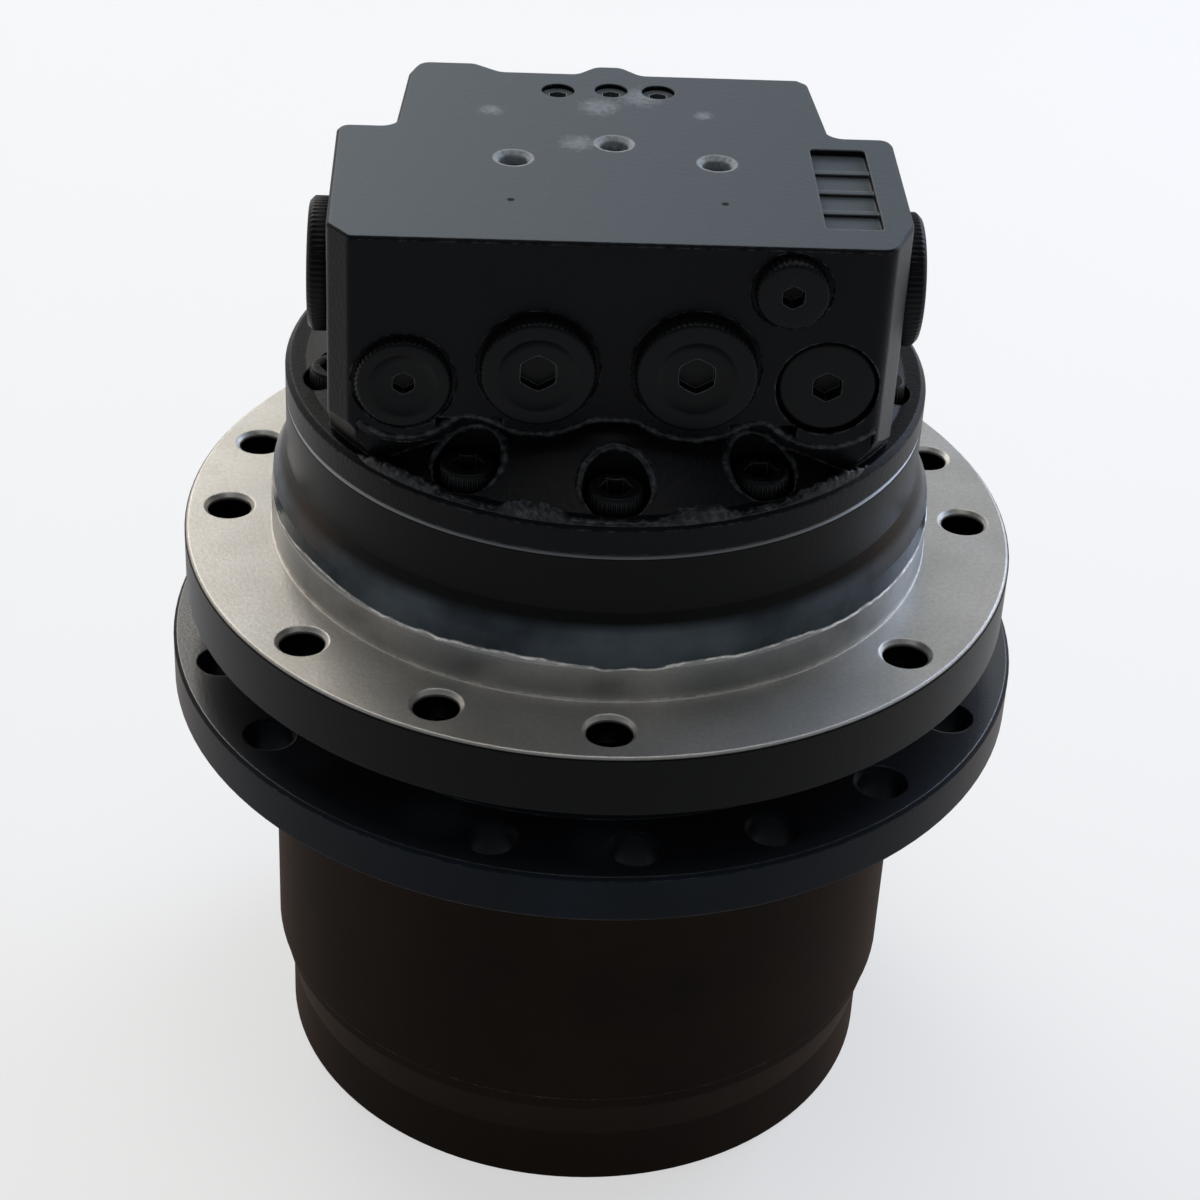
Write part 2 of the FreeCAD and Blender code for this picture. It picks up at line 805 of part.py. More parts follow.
def make_speed_plug():
    """Plug over the speed change spool, hollow where the pilot oil meets the spool."""
    body = make_front_plug(
        speed_plug_place, speed_plug_radius, speed_plug_head_height, speed_plug_hex, speed_plug_dish)
    start = Vector(speed_plug_place[0], speed_spool_start() - speed_plug_hollow, speed_plug_place[1])
    radius = speed_spool_radius - speed_plug_wall
    return body.cut(Part.makeCylinder(radius, speed_plug_hollow + overlap, start, Vector(0, 1, 0)))


def make_relief_plug(place, radius, dish):
    """Headed plug with the slimmer nose of a relief valve cartridge behind its thread."""
    body = make_front_plug(place, radius, relief_plug_head_height, relief_plug_hex, dish)
    start = Vector(place[0], block_front + front_plug_depth - plug_end_gap - overlap, place[1])
    length = relief_nose_length + overlap
    nose = Part.makeCylinder(relief_nose_radius, length, start, Vector(0, 1, 0))
    return body.fuse(nose).removeSplitter()


def make_speed_spool():
    """Two-position spool of the speed change valve, with its control grooves."""
    start = Vector(speed_plug_place[0], speed_spool_start(), speed_plug_place[1])
    along = Vector(0, 1, 0)
    body = Part.makeCylinder(speed_spool_radius, speed_spool_length, start, along)
    for share in speed_groove_shares:
        place = start + along * (speed_spool_length * share)
        groove = Part.makeCylinder(speed_spool_radius + overlap, speed_groove_width, place, along)
        core = Part.makeCylinder(speed_spool_radius - speed_groove_depth, speed_groove_width, place, along)
        body = body.cut(groove.cut(core))
    return body


def speed_spool_start():
    """Near end of the speed spool at rest, against the end of its plug."""
    return block_front + front_plug_depth - plug_end_gap


def make_speed_spring():
    """Return spring at the far end of the speed spool."""
    start = speed_spool_start() + speed_spool_length
    end = block_front + speed_bore_depth
    place = Vector(speed_plug_place[0], start, speed_plug_place[1])
    radius = speed_spool_radius - spring_side_gap
    outer = Part.makeCylinder(radius, end - start, place, Vector(0, 1, 0))
    return outer.cut(Part.makeCylinder(radius - spring_wall, end - start, place, Vector(0, 1, 0)))


def make_spool_cap(side):
    """Screwed end cap of the counterbalance spool; side is -1 for left and 1 for right."""
    wall = block_left if side < 0 else block_right
    out = Vector(side, 0, 0)
    seat = Vector(wall, spool_y, spool_z)
    head = Part.makeCylinder(spool_cap_radius, spool_cap_height, seat, out)
    rim = [e for e in head.Edges if abs(abs(e.CenterOfMass.x - wall) - spool_cap_height) < 0.01]
    head = head.makeChamfer(spool_cap_chamfer, rim)
    shank = Part.makeCylinder(spool_cap_shank_radius, spool_cap_shank - plug_end_gap, seat, out * -1)
    floor = seat + out * (spool_cap_height - hex_depth)
    socket = hexagon(spool_cap_hex, hex_depth + overlap, floor, out)
    return head.fuse(shank).cut(socket).removeSplitter()


def spool_middle():
    """Middle of the counterbalance spool's bore."""
    return (block_left + block_right) / 2


def make_spool():
    """Counterbalance spool with four lands and three wide grooves between them."""
    along = Vector(1, 0, 0)
    start = Vector(spool_middle() - spool_length / 2, spool_y, spool_z)
    body = Part.makeCylinder(spool_radius, spool_length, start, along)
    width = spool_length * spool_groove_share
    for share in spool_groove_shares:
        place = start + along * (spool_length * share)
        groove = Part.makeCylinder(spool_radius + overlap, width, place, along)
        core = Part.makeCylinder(spool_radius * spool_core_share, width, place, along)
        body = body.cut(groove.cut(core))
    return body


def make_spool_spring(side):
    """Centring spring between the spool's end and its cap."""
    wall = block_left if side < 0 else block_right
    inner_end = spool_middle() + side * spool_length / 2
    outer_end = wall - side * (spool_cap_shank - plug_end_gap)
    length = abs(outer_end - inner_end)
    start = Vector(min(inner_end, outer_end), spool_y, spool_z)
    radius = spool_radius - spring_side_gap
    body = Part.makeCylinder(radius, length, start, Vector(1, 0, 0))
    return body.cut(Part.makeCylinder(radius - spring_wall, length, start, Vector(1, 0, 0)))


def make_gallery_plugs():
    """Three flush plugs at the ends of upright drillings."""
    plugs = []
    for x, y in gallery_plug_places:
        top = block_top - gallery_plug_sink
        body = post(gallery_plug_radius, top - gallery_plug_length, top, Vector(x, y, 0))
        floor = Vector(x, y, top - gallery_hex_depth)
        socket = hexagon(gallery_plug_hex, gallery_hex_depth + overlap, floor, Vector(0, 0, 1))
        plugs.append(body.cut(socket))
    return plugs


def race_radius(mean, z, middle, side):
    """Radius of a conical race at a level; side is 1 where the race widens upwards."""
    return mean + side * (z - middle) * math.tan(math.radians(bearing_slope))


def make_bearing(top, side):
    """Inner ring, outer ring and rollers of one tapered roller bearing."""
    bottom = top - bearing_width
    middle = (top + bottom) / 2
    inner = turned([
        (spindle_radius + running_clearance, bottom),
        (race_radius(inner_race_radius, bottom, middle, side), bottom),
        (race_radius(inner_race_radius, top, middle, side), top),
        (spindle_radius + running_clearance, top),
    ])
    outer = turned([
        (race_radius(outer_race_radius, bottom, middle, side), bottom),
        (bearing_radius - running_clearance, bottom),
        (bearing_radius - running_clearance, top),
        (race_radius(outer_race_radius, top, middle, side), top),
    ])
    slope = math.radians(bearing_slope) * side
    space = (outer_race_radius - inner_race_radius) * math.cos(slope)
    radius = (space - roller_gap - face_gap) / 2
    length = bearing_width * roller_length_share
    offset = inner_race_radius + (radius + roller_gap) / math.cos(slope)
    roller = Part.makeCylinder(radius, length, Vector(0, 0, -length / 2))
    roller.rotate(Vector(0, 0, 0), Vector(0, 1, 0), math.degrees(slope))
    roller.translate(Vector(offset, 0, middle))
    rollers = []
    for index in range(roller_count):
        copy = roller.copy()
        copy.rotate(Vector(0, 0, 0), Vector(0, 0, 1), 360 * index / roller_count)
        rollers.append(copy)
    return inner, outer, rollers


def make_hub():
    """Turning housing with the sprocket flange outside and the ring gear inside."""
    collar_top = flange_under + collar_rise
    seal_low = seal_plane - seal_chamber_height
    shoulder_low = bearing_bottom - hub_shoulder_width
    tip = ring_pitch_radius - tooth_addendum * gear_module
    root = ring_pitch_radius + tooth_dedendum * gear_module
    points = [
        (collar_inner_radius, collar_top),
        (collar_radius, collar_top),
        (collar_radius, sprocket_face),
        (sprocket_flange_radius - edge_chamfer, sprocket_face),
        (sprocket_flange_radius, sprocket_face - edge_chamfer),
        (sprocket_flange_radius, sprocket_under + edge_chamfer),
        (sprocket_flange_radius - edge_chamfer, sprocket_under),
        (barrel_radius, sprocket_under),
        (barrel_radius, hub_bottom),
        (tip, hub_bottom),
        (tip, shoulder_low),
        (hub_shoulder_radius, shoulder_low),
        (hub_shoulder_radius, bearing_bottom),
        (bearing_radius, bearing_bottom),
        (bearing_radius, seal_low),
        (seal_bore_radius, seal_low),
        (seal_bore_radius, seal_plane - collar_step),
        (collar_inner_radius, seal_plane - collar_step),
    ]
    body = turned(points)
    inner_corner = [e for e in body.Edges
                    if abs(e.BoundBox.ZMax - sprocket_under) < 0.01
                    and abs(e.BoundBox.ZMin - sprocket_under) < 0.01
                    and abs(e.BoundBox.XMax - barrel_radius) < 0.01]
    body = body.makeFillet(barrel_fillet, inner_corner)
    low = hub_bottom - overlap
    spaces = tooth_outline(ring_teeth, tip, root, -tooth_backlash / 2, math.pi / ring_teeth, low)
    body = body.cut(Part.Face(spaces).extrude(Vector(0, 0, shoulder_low - low)))
    tools = []
    for angle in sprocket_hole_angles():
        place = polar(sprocket_hole_circle_radius, angle)
        tools.append(chamfered_hole(
            sprocket_hole_radius, sprocket_hole_chamfer, sprocket_under, sprocket_face, place, both=True))
    for index in range(cover_screw_count):
        place = polar(cover_screw_circle_radius, 360 * index / cover_screw_count)
        depth = cover_screw_engagement + tapped_hole_spare
        radius = cover_screw_radius + screw_clearance
        tools.append(post(radius, hub_bottom - overlap, hub_bottom + depth, place))
    return body.cut(tools)


def sprocket_hole_angles():
    """Angles of the sprocket bolt holes, in groups with a wider gap between them."""
    angles = []
    half = (sprocket_holes_per_group - 1) / 2
    for group in range(sprocket_hole_groups):
        for index in range(sprocket_holes_per_group):
            middle = 360 * group / sprocket_hole_groups
            angles.append(sprocket_group_middle + middle + (index - half) * sprocket_hole_step)
    return angles


def make_end_cover():
    """Deep cover that closes the gear space; its rim is the foot that the drive stands on."""
    points = [
        (0, cover_floor),
        (cover_cavity_radius, cover_floor),
        (cover_cavity_radius, hub_bottom),
        (cover_top_radius - cover_joint_chamfer, hub_bottom),
        (cover_top_radius, hub_bottom - cover_joint_chamfer),
        (cover_top_radius, hub_bottom - cover_straight),
        (cover_radius, hub_bottom - cover_straight - cover_taper),
        (cover_radius, cover_bottom + cover_edge),
        (cover_radius - cover_edge, cover_bottom),
        (cover_recess_radius, cover_bottom),
        (cover_recess_radius - cover_recess_draft, cover_recess_top),
        (0, cover_recess_top),
    ]
    body = turned(points)
    tools = []
    for index in range(cover_screw_count):
        place = polar(cover_screw_circle_radius, 360 * index / cover_screw_count)
        tools.append(post(cover_screw_radius + side_clearance, cover_bottom, hub_bottom + overlap, place))
        pocket = cover_screw_head_radius + side_clearance
        tools.append(post(pocket, cover_bottom - overlap, cover_recess_top, place))
    for angle in oil_plug_angles:
        place = polar(oil_plug_circle_radius, angle)
        tools.append(post(oil_plug_radius + screw_clearance, cover_bottom, cover_floor + overlap, place))
    return body.cut(tools)


def make_cover_screws():
    """Socket head screws that hold the end cover on the hub."""
    screws = []
    length = hub_bottom - cover_recess_top + cover_screw_engagement
    for index in range(cover_screw_count):
        seat = polar(cover_screw_circle_radius, 360 * index / cover_screw_count, cover_recess_top)
        screws.append(cap_screw(
            cover_screw_head_radius, cover_screw_head_height, cover_screw_radius, length,
            seat, Vector(0, 0, -1)))
    return screws


def make_oil_plugs():
    """Fill, level and drain plugs in the cover's recess."""
    plugs = []
    for angle in oil_plug_angles:
        seat = polar(oil_plug_circle_radius, angle, cover_recess_top)
        length = cover_floor - cover_recess_top - oil_plug_end_gap
        plugs.append(cap_screw(
            oil_plug_head_radius, oil_plug_head_height, oil_plug_radius, length, seat, Vector(0, 0, -1)))
    return plugs


def make_seal_ring(side):
    """Metal face seal ring; side is 1 above the sealing face and -1 below it."""
    face = seal_plane + side * seal_face_half_gap
    lip = face + side * seal_lip_height
    end = face + side * seal_ring_height
    return turned([
        (seal_inner_radius, face),
        (seal_lip_radius, face),
        (seal_body_radius, lip),
        (seal_body_radius, end),
        (seal_inner_radius, end),
    ])


def make_seal_rubber(side):
    """Rubber ring that centres and presses a metal seal ring."""
    near = seal_plane + side * (seal_lip_height + seal_rubber_offset)
    far = near + side * seal_rubber_height
    bevel = seal_rubber_bevel
    inner = seal_body_radius + screw_clearance
    outer = seal_bore_radius - screw_clearance
    return turned([
        (inner, near + side * bevel),
        (inner + bevel, near),
        (outer, near + side * bevel),
        (outer, far - side * bevel),
        (outer - bevel, far),
        (inner, far - side * bevel),
    ])


def stage_places(first):
    """Points in plan of the planets of one stage."""
    return [Vector(centre_distance * math.cos(a), centre_distance * math.sin(a), 0)
            for a in planet_angles(first)]


def post_places(first):
    """Points in plan of a carrier's posts, half way between its planets."""
    places = []
    for angle in planet_angles(first):
        turn = angle + math.pi / planet_count
        reach = carrier_post_circle_radius
        places.append(Vector(reach * math.cos(turn), reach * math.sin(turn), 0))
    return places


def make_carrier(first, top, plate_bottom, end_top, bottom, bore_top, bore_bottom):
    """Planet carrier: two plates joined by posts, bored for the planet pins."""
    body = tube(carrier_radius, bore_top, plate_bottom, top)
    body = body.fuse(tube(carrier_radius, bore_bottom, bottom, end_top))
    posts = [post(carrier_post_radius, end_top, plate_bottom, place) for place in post_places(first)]
    body = body.fuse(posts)
    pins = [post(pin_radius + running_clearance, bottom, top, place) for place in stage_places(first)]
    return body.cut(pins).removeSplitter()


def make_pins(first, bottom, top):
    """Planet pins, pressed into both plates of their carrier."""
    return [post(pin_radius, bottom, top, place) for place in stage_places(first)]


def make_bushes(first, gear_bottom, width):
    """Bronze bushes on the planet pins."""
    bushes = []
    for place in stage_places(first):
        outer = post(pin_radius + bush_wall, gear_bottom, gear_bottom + width, place)
        inner = post(pin_radius + running_clearance, gear_bottom, gear_bottom + width, place)
        bushes.append(outer.cut(inner))
    return bushes


def make_planet(first, index, bottom, width):
    """One planet gear, turned so that its teeth mesh with the ring gear and the sun gear."""
    angle = planet_angles(first)[index]
    body = gear(planet_teeth, planet_phase(angle), bottom, width)
    body = body.cut(post(pin_radius + bush_wall + running_clearance, bottom, bottom + width, Vector()))
    body.translate(stage_places(first)[index])
    return body


def make_first_sun():
    """Input sun gear on its long shaft, with a coupling cup for the motor's shaft."""
    angle = planet_angles(first_stage_turn)[0]
    body = gear(sun_teeth, sun_phase(angle), first_gear_bottom, first_gear_width)
    top = web_bottom - coupling_gap
    shaft = post(sun_shaft_radius, first_gear_top - overlap, top - coupling_length, Vector())
    cup = post(coupling_radius, top - coupling_length, top, Vector())
    body = body.fuse([shaft, cup])
    stub = post(shaft_end_radius + running_clearance, top - shaft_stub, top + overlap, Vector())
    return body.cut(stub).removeSplitter()


def make_second_sun():
    """Hollow sun gear of the second stage, splined into the first carrier."""
    angle = planet_angles(second_stage_turn)[0]
    low = second_gear_bottom - sun_overhang
    top = second_gear_top + sun_overhang
    body = gear(sun_teeth, sun_phase(angle), low, top - low)
    sleeve = post(sun_spline_radius, first_plate_bottom, low, Vector())
    body = body.fuse(sleeve)
    bore = post(sun_bore_radius, first_plate_bottom - overlap, top + overlap, Vector())
    return body.cut(bore).removeSplitter()


def make_first_carrier():
    """Turning carrier of the first stage, with the spline bore for the second sun gear."""
    bore = sun_spline_radius + running_clearance
    return make_carrier(
        first_stage_turn, first_plate_top, first_plate_bottom, first_end_top, first_end_bottom,
        bore, first_end_bore_radius)


def make_second_carrier():
    """Fixed carrier of the second stage, screwed to the end of the spindle."""
    body = make_carrier(
        second_stage_turn, bearing_bottom, second_plate_bottom, second_end_top, second_end_bottom,
        carrier_bore_radius, carrier_bore_radius)
    tools = []
    radius = carrier_screw_radius + screw_clearance
    for place in carrier_screw_places():
        tools.append(post(radius, second_plate_bottom - overlap, bearing_bottom + overlap, place))
    return body.cut(tools)


def make_carrier_screws():
    """Flush set screws that hold the fixed carrier on the spindle."""
    top = bearing_bottom + carrier_screw_engagement
    return [post(carrier_screw_radius, second_plate_bottom, top, place) for place in carrier_screw_places()]


def make_thrust_plate():
    """Hardened plate with a button that carries the end thrust of the first sun gear."""
    top = first_gear_bottom - face_gap
    return turned([
        (0, cover_floor),
        (thrust_radius, cover_floor),
        (thrust_radius, cover_floor + thrust_plate_height),
        (thrust_button_radius, cover_floor + thrust_plate_height),
        (thrust_button_radius, top),
        (0, top),
    ])


def block_bottom():
    """Lower face of the cylinder block."""
    return casing_height - valve_plate_thickness - face_gap - cylinder_block_length


def piston_places():
    """Points in plan of the nine pistons."""
    step = 360 / block_bore_count
    return [polar(piston_circle_radius, step * index) for index in range(block_bore_count)]


def make_cylinder_block():
    """Cylinder block with nine bores, splined on the drive shaft."""
    low = block_bottom()
    top = low + cylinder_block_length
    body = tube(cylinder_block_radius, shaft_radius + running_clearance, low, top)
    tools = []
    for place in piston_places():
        neck = top - cylinder_block_neck
        tools.append(post(piston_radius + running_clearance, low - overlap, neck, place))
        tools.append(post(cylinder_port_radius, neck - overlap, top + overlap, place))
    return body.cut(tools)


def swash_top():
    """Running face of the swash plate."""
    return motor_floor + swash_thickness


def make_pistons():
    """Nine pistons, each with its slipper on the swash plate."""
    low = swash_top() + face_gap
    neck = low + slipper_height
    start = neck + retainer_thickness + retainer_lift
    stroke_end = block_bottom() + cylinder_block_length * piston_reach_share
    pistons = []
    for place in piston_places():
        slipper = post(slipper_radius, low, neck, place)
        stem = post(slipper_neck_radius, neck, start, place)
        body = post(piston_radius, start, stroke_end, place)
        pistons.append(slipper.fuse([stem, body]).removeSplitter())
    return pistons


def make_retainer():
    """Plate that holds the slippers down on the swash plate."""
    low = swash_top() + face_gap + slipper_height + running_clearance
    body = tube(cylinder_block_radius, swash_bore_radius, low, low + retainer_thickness)
    radius = slipper_neck_radius + side_clearance
    top = low + retainer_thickness
    return body.cut([post(radius, low - overlap, top + overlap, place) for place in piston_places()])


def make_swash_plate():
    """Swash plate with two flats along its lower edge, where its guides sit."""
    body = tube(swash_radius, swash_bore_radius, motor_floor, swash_top())
    flats = []
    for side in (-1, 1):
        inner = swash_radius - swash_flat_depth
        y = inner if side > 0 else -swash_radius - overlap
        corner = Vector(-swash_radius, y, motor_floor)
        flats.append(Part.makeBox(2 * swash_radius, swash_flat_depth + overlap, swash_flat_height, corner))
    return body.cut(flats)


def make_drive_shaft():
    """Motor shaft: journal in the valve block, block spline, bearing seat and lower stub."""
    stub_bottom = web_bottom - coupling_gap - shaft_stub
    journal_top = casing_height + shaft_end_length - shaft_step_gap
    spline_top = casing_height - valve_plate_thickness - shaft_step_gap
    seat_top = motor_floor + shaft_step_gap
    return turned([
        (0, journal_top),
        (shaft_end_radius, journal_top),
        (shaft_end_radius, spline_top),
        (shaft_radius, spline_top),
        (shaft_radius, seat_top),
        (shaft_bearing_seat_radius, seat_top),
        (shaft_bearing_seat_radius, web_bottom),
        (shaft_end_radius, web_bottom),
        (shaft_end_radius, stub_bottom),
        (0, stub_bottom),
    ])


def make_valve_plate():
    """Valve plate with its two kidney ports."""
    top = casing_height
    low = top - valve_plate_thickness
    body = tube(valve_plate_radius, valve_plate_bore_radius, low, top)
    inner = piston_circle_radius - kidney_half_width
    outer = piston_circle_radius + kidney_half_width
    kidneys = tube(outer, inner, low - overlap, top + overlap)
    height = valve_plate_thickness + 4 * overlap
    corner = Vector(-valve_plate_radius, -kidney_bar_width / 2, low - 2 * overlap)
    bar = Part.makeBox(2 * valve_plate_radius, kidney_bar_width, height, corner)
    return body.cut(kidneys.cut(bar))


def plate_floor():
    """Shoulder in the casing that the brake plates stand on."""
    return casing_height - plate_bore_depth


def brake_pitch():
    """Height of one steel plate with one friction disc and its running gaps."""
    return brake_plate_thickness + brake_disc_thickness + 2 * face_gap


def make_brake_plates():
    """Steel brake plates held in the casing."""
    plates = []
    for index in range(brake_plate_count):
        low = plate_floor() + index * brake_pitch()
        plates.append(tube(plate_bore_radius - screw_clearance, brake_plate_inner_radius, low,
                           low + brake_plate_thickness))
    return plates


def make_brake_discs():
    """Friction discs that turn with the cylinder block."""
    discs = []
    for index in range(brake_plate_count - 1):
        low = plate_floor() + index * brake_pitch() + brake_plate_thickness + face_gap
        discs.append(tube(brake_disc_outer_radius, cylinder_block_radius + running_clearance, low,
                          low + brake_disc_thickness))
    return discs


def brake_stack_top():
    """Upper face of the last steel plate."""
    return plate_floor() + (brake_plate_count - 1) * brake_pitch() + brake_plate_thickness


def make_brake_piston():
    """Stepped ring piston that clamps the plates until oil lifts it."""
    low = brake_stack_top()
    step = casing_height - brake_bore_depth + brake_step_gap
    top = casing_height - brake_piston_top_gap
    body = turned([
        (brake_piston_inner_radius, low),
        (plate_bore_radius - running_clearance, low),
        (plate_bore_radius - running_clearance, step),
        (brake_bore_radius - running_clearance, step),
        (brake_bore_radius - running_clearance, top),
        (brake_piston_inner_radius, top),
    ])
    pockets = []
    for place in brake_spring_places():
        radius = brake_spring_radius + brake_spring_gap
        pockets.append(post(radius, top - brake_spring_depth, top + overlap, place))
    return body.cut(pockets)


def brake_spring_places():
    """Points in plan of the brake springs."""
    return [polar(brake_spring_circle_radius, 360 * (index + 0.5) / brake_spring_count)
            for index in range(brake_spring_count)]


def make_brake_springs():
    """Springs that push the brake piston down from the valve block."""
    springs = []
    low = casing_height - brake_piston_top_gap - brake_spring_depth
    for place in brake_spring_places():
        outer = post(brake_spring_radius, low, casing_height, place)
        springs.append(outer.cut(post(brake_spring_radius - spring_wall, low, casing_height, place)))
    return springs


def make_shaft_bearing():
    """Lower shaft bearing: outer ring, inner ring and rollers."""
    low = web_top
    top = motor_floor
    seat = shaft_bearing_seat_radius
    outer_track = shaft_bearing_radius - shaft_outer_race
    inner_track = seat + shaft_inner_race
    outer = tube(shaft_bearing_radius - screw_clearance, outer_track, low, top)
    inner = tube(inner_track, seat + screw_clearance, low + face_gap, top)
    radius = (outer_track - inner_track - roller_gap - face_gap) / 2
    gap = shaft_roller_end_gap
    rollers = []
    for index in range(shaft_roller_count):
        place = polar(inner_track + roller_gap + radius, 360 * index / shaft_roller_count)
        rollers.append(post(radius, low + gap, top - gap, place))
    return outer, inner, rollers


def save(name, shape):
    """Writes one piece, or a group of like pieces, to its STEP file."""
    if isinstance(shape, (list, tuple)):
        shape = Part.makeCompound(list(shape))
    shape.exportStep("parts/" + name + ".step")


os.makedirs("parts", exist_ok=True)

save("spindle", make_spindle())
save("valve_block", make_valve_block())
save("valve_block_screws", make_block_screws())
save("speed_valve_plug", make_speed_plug())
save("speed_spool", make_speed_spool())
save("speed_spring", make_speed_spring())
save("left_relief_plug", make_relief_plug(left_relief_place, left_relief_radius, left_relief_dish))
save("right_relief_plug", make_relief_plug(right_relief_place, right_relief_radius, right_relief_dish))
save("brake_valve_plug", make_front_plug(
    brake_plug_place, brake_plug_radius, plug_head_height, brake_plug_hex, 0, sink=plug_head_height))
save("upper_gallery_plug", make_front_plug(
    upper_plug_place, upper_plug_radius, plug_head_height, upper_plug_hex, 0))
save("left_spool_cap", make_spool_cap(-1))
save("right_spool_cap", make_spool_cap(1))
save("counterbalance_spool", make_spool())
save("left_spool_spring", make_spool_spring(-1))
save("right_spool_spring", make_spool_spring(1))
save("gallery_plugs", make_gallery_plugs())
save("valve_plate", make_valve_plate())
save("upper_shaft_bearing", tube(
    bearing_seat_radius() - screw_clearance, shaft_end_radius + running_clearance,
    casing_height, casing_height + shaft_end_length))
save("drive_shaft", make_drive_shaft())
save("cylinder_block", make_cylinder_block())
save("pistons", make_pistons())
save("slipper_retainer", make_retainer())
save("swash_plate", make_swash_plate())
save("brake_plates", make_brake_plates())
save("brake_discs", make_brake_discs())
save("brake_piston", make_brake_piston())
save("brake_springs", make_brake_springs())

bearing_outer, bearing_inner, bearing_rollers = make_shaft_bearing()
save("lower_shaft_bearing_outer", bearing_outer)
save("lower_shaft_bearing_inner", [bearing_inner] + bearing_rollers)
save("shaft_seal", tube(
    web_bore_radius - screw_clearance, shaft_bearing_seat_radius + running_clearance, web_bottom, web_top))

save("hub", make_hub())
save("end_cover", make_end_cover())
save("cover_screws", make_cover_screws())
save("oil_plugs", make_oil_plugs())
save("thrust_plate", make_thrust_plate())

upper_inner, upper_outer, upper_rollers = make_bearing(bearing_top, 1)
lower_inner, lower_outer, lower_rollers = make_bearing(bearing_bottom + bearing_width, -1)
save("upper_bearing_inner_ring", upper_inner)
save("lower_bearing_inner_ring", lower_inner)
save("upper_bearing_outer_ring", upper_outer)
save("lower_bearing_outer_ring", lower_outer)
save("bearing_rollers", upper_rollers + lower_rollers)
save("bearing_spacer", tube(
    bearing_radius - running_clearance, bearing_radius - bearing_spacer_height,
    bearing_bottom + bearing_width, bearing_top - bearing_width))
save("fixed_seal_ring", make_seal_ring(1))
save("fixed_seal_rubber", make_seal_rubber(1))
save("turning_seal_ring", make_seal_ring(-1))
save("turning_seal_rubber", make_seal_rubber(-1))

save("first_sun_gear", make_first_sun())
save("second_sun_gear", make_second_sun())
save("first_carrier", make_first_carrier())
save("first_carrier_pins", make_pins(first_stage_turn, first_end_bottom, first_plate_top))
save("first_carrier_bushes", make_bushes(first_stage_turn, first_gear_bottom, first_gear_width))
save("second_carrier", make_second_carrier())
save("second_carrier_screws", make_carrier_screws())
save("second_carrier_pins", make_pins(second_stage_turn, second_end_bottom, bearing_bottom))
save("second_carrier_bushes", make_bushes(second_stage_turn, second_gear_bottom, second_gear_width))
for index, letter in enumerate("abc"):
    save("first_planet_" + letter, make_planet(
        first_stage_turn, index, first_gear_bottom, first_gear_width))
    save("second_planet_" + letter, make_planet(
        second_stage_turn, index, second_gear_bottom, second_gear_width))
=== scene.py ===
import json

import bpy
import numpy as np
from mathutils import Matrix, Vector


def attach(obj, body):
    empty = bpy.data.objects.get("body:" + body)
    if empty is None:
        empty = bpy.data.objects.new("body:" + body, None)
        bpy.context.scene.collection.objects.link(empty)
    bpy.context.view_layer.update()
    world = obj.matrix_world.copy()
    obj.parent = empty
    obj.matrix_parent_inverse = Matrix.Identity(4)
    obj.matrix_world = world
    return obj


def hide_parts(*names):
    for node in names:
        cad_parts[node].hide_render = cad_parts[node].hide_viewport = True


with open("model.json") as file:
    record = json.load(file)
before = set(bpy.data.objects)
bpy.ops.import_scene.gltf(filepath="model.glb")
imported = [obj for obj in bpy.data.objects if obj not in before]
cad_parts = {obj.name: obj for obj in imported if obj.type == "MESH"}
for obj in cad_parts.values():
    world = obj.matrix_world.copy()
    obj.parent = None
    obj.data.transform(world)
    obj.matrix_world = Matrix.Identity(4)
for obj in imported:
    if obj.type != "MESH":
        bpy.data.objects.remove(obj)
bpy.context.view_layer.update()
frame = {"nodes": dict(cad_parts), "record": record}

# View
# The drive stands on its end cover and is seen from the front, from 33 degrees above. The lens is
# long, so the barrel narrows only a little downwards.
camera = bpy.data.objects.new("camera", bpy.data.cameras.new("camera"))
bpy.context.scene.collection.objects.link(camera)
camera.data.lens = 84.45
camera.data.sensor_width = 36.0
camera_place = (-0.0422, -0.7648, 0.4725)
camera_right = Vector((0.99861, -0.02823, 0.04458))
camera_up = Vector((-0.02159, 0.5522, 0.83343))
camera_back = Vector((-0.04815, -0.83323, 0.55082))
camera_turn = Matrix((camera_right, camera_up, camera_back)).transposed()
camera.matrix_world = Matrix.Translation(camera_place) @ camera_turn.to_4x4()
bpy.context.scene.camera = camera
bpy.context.scene.view_settings.view_transform = "Standard"


# Floor and light
# A white matt floor under the end cover, a sky that is grey in front and pale low down and behind,
# and five soft boxes: warm white at the rear left, bluish at the rear right, white above, and two
# low warm ones at the sides.
def linear(code):
    """sRGB hex code as linear red, green, blue and alpha.

    Each part c becomes c/12.92 up to 0.04045, and ((c + 0.055)/1.055)^2.4 above it."""
    parts = np.array([int(code[i:i + 2], 16) for i in (1, 3, 5)]) / 255
    low, high = parts / 12.92, ((parts + 0.055) / 1.055) ** 2.4
    return (*np.where(parts <= 0.04045, low, high), 1.0)


def feed(tree, node, inputs):
    """Each input of a shader node gets a plain value or a link from another node's output."""
    for name, value in inputs.items():
        if isinstance(value, bpy.types.NodeSocket):
            tree.links.new(value, node.inputs[name])
        else:
            node.inputs[name].default_value = value


def add(tree, kind, inputs=None, **settings):
    """One shader node with its settings and its inputs, by name or number.

    A mix of colours has its share at 0 and its tones at 6 and 7, and a mix of numbers at 0, 2 and 3.
    A map range has its value at 0, runs from 1 to 2, and gives 3 to 4, or else 0 to 1."""
    made = tree.nodes.new(kind)
    for name, value in settings.items():
        setattr(made, name, value)
    feed(tree, made, inputs or {})
    return made


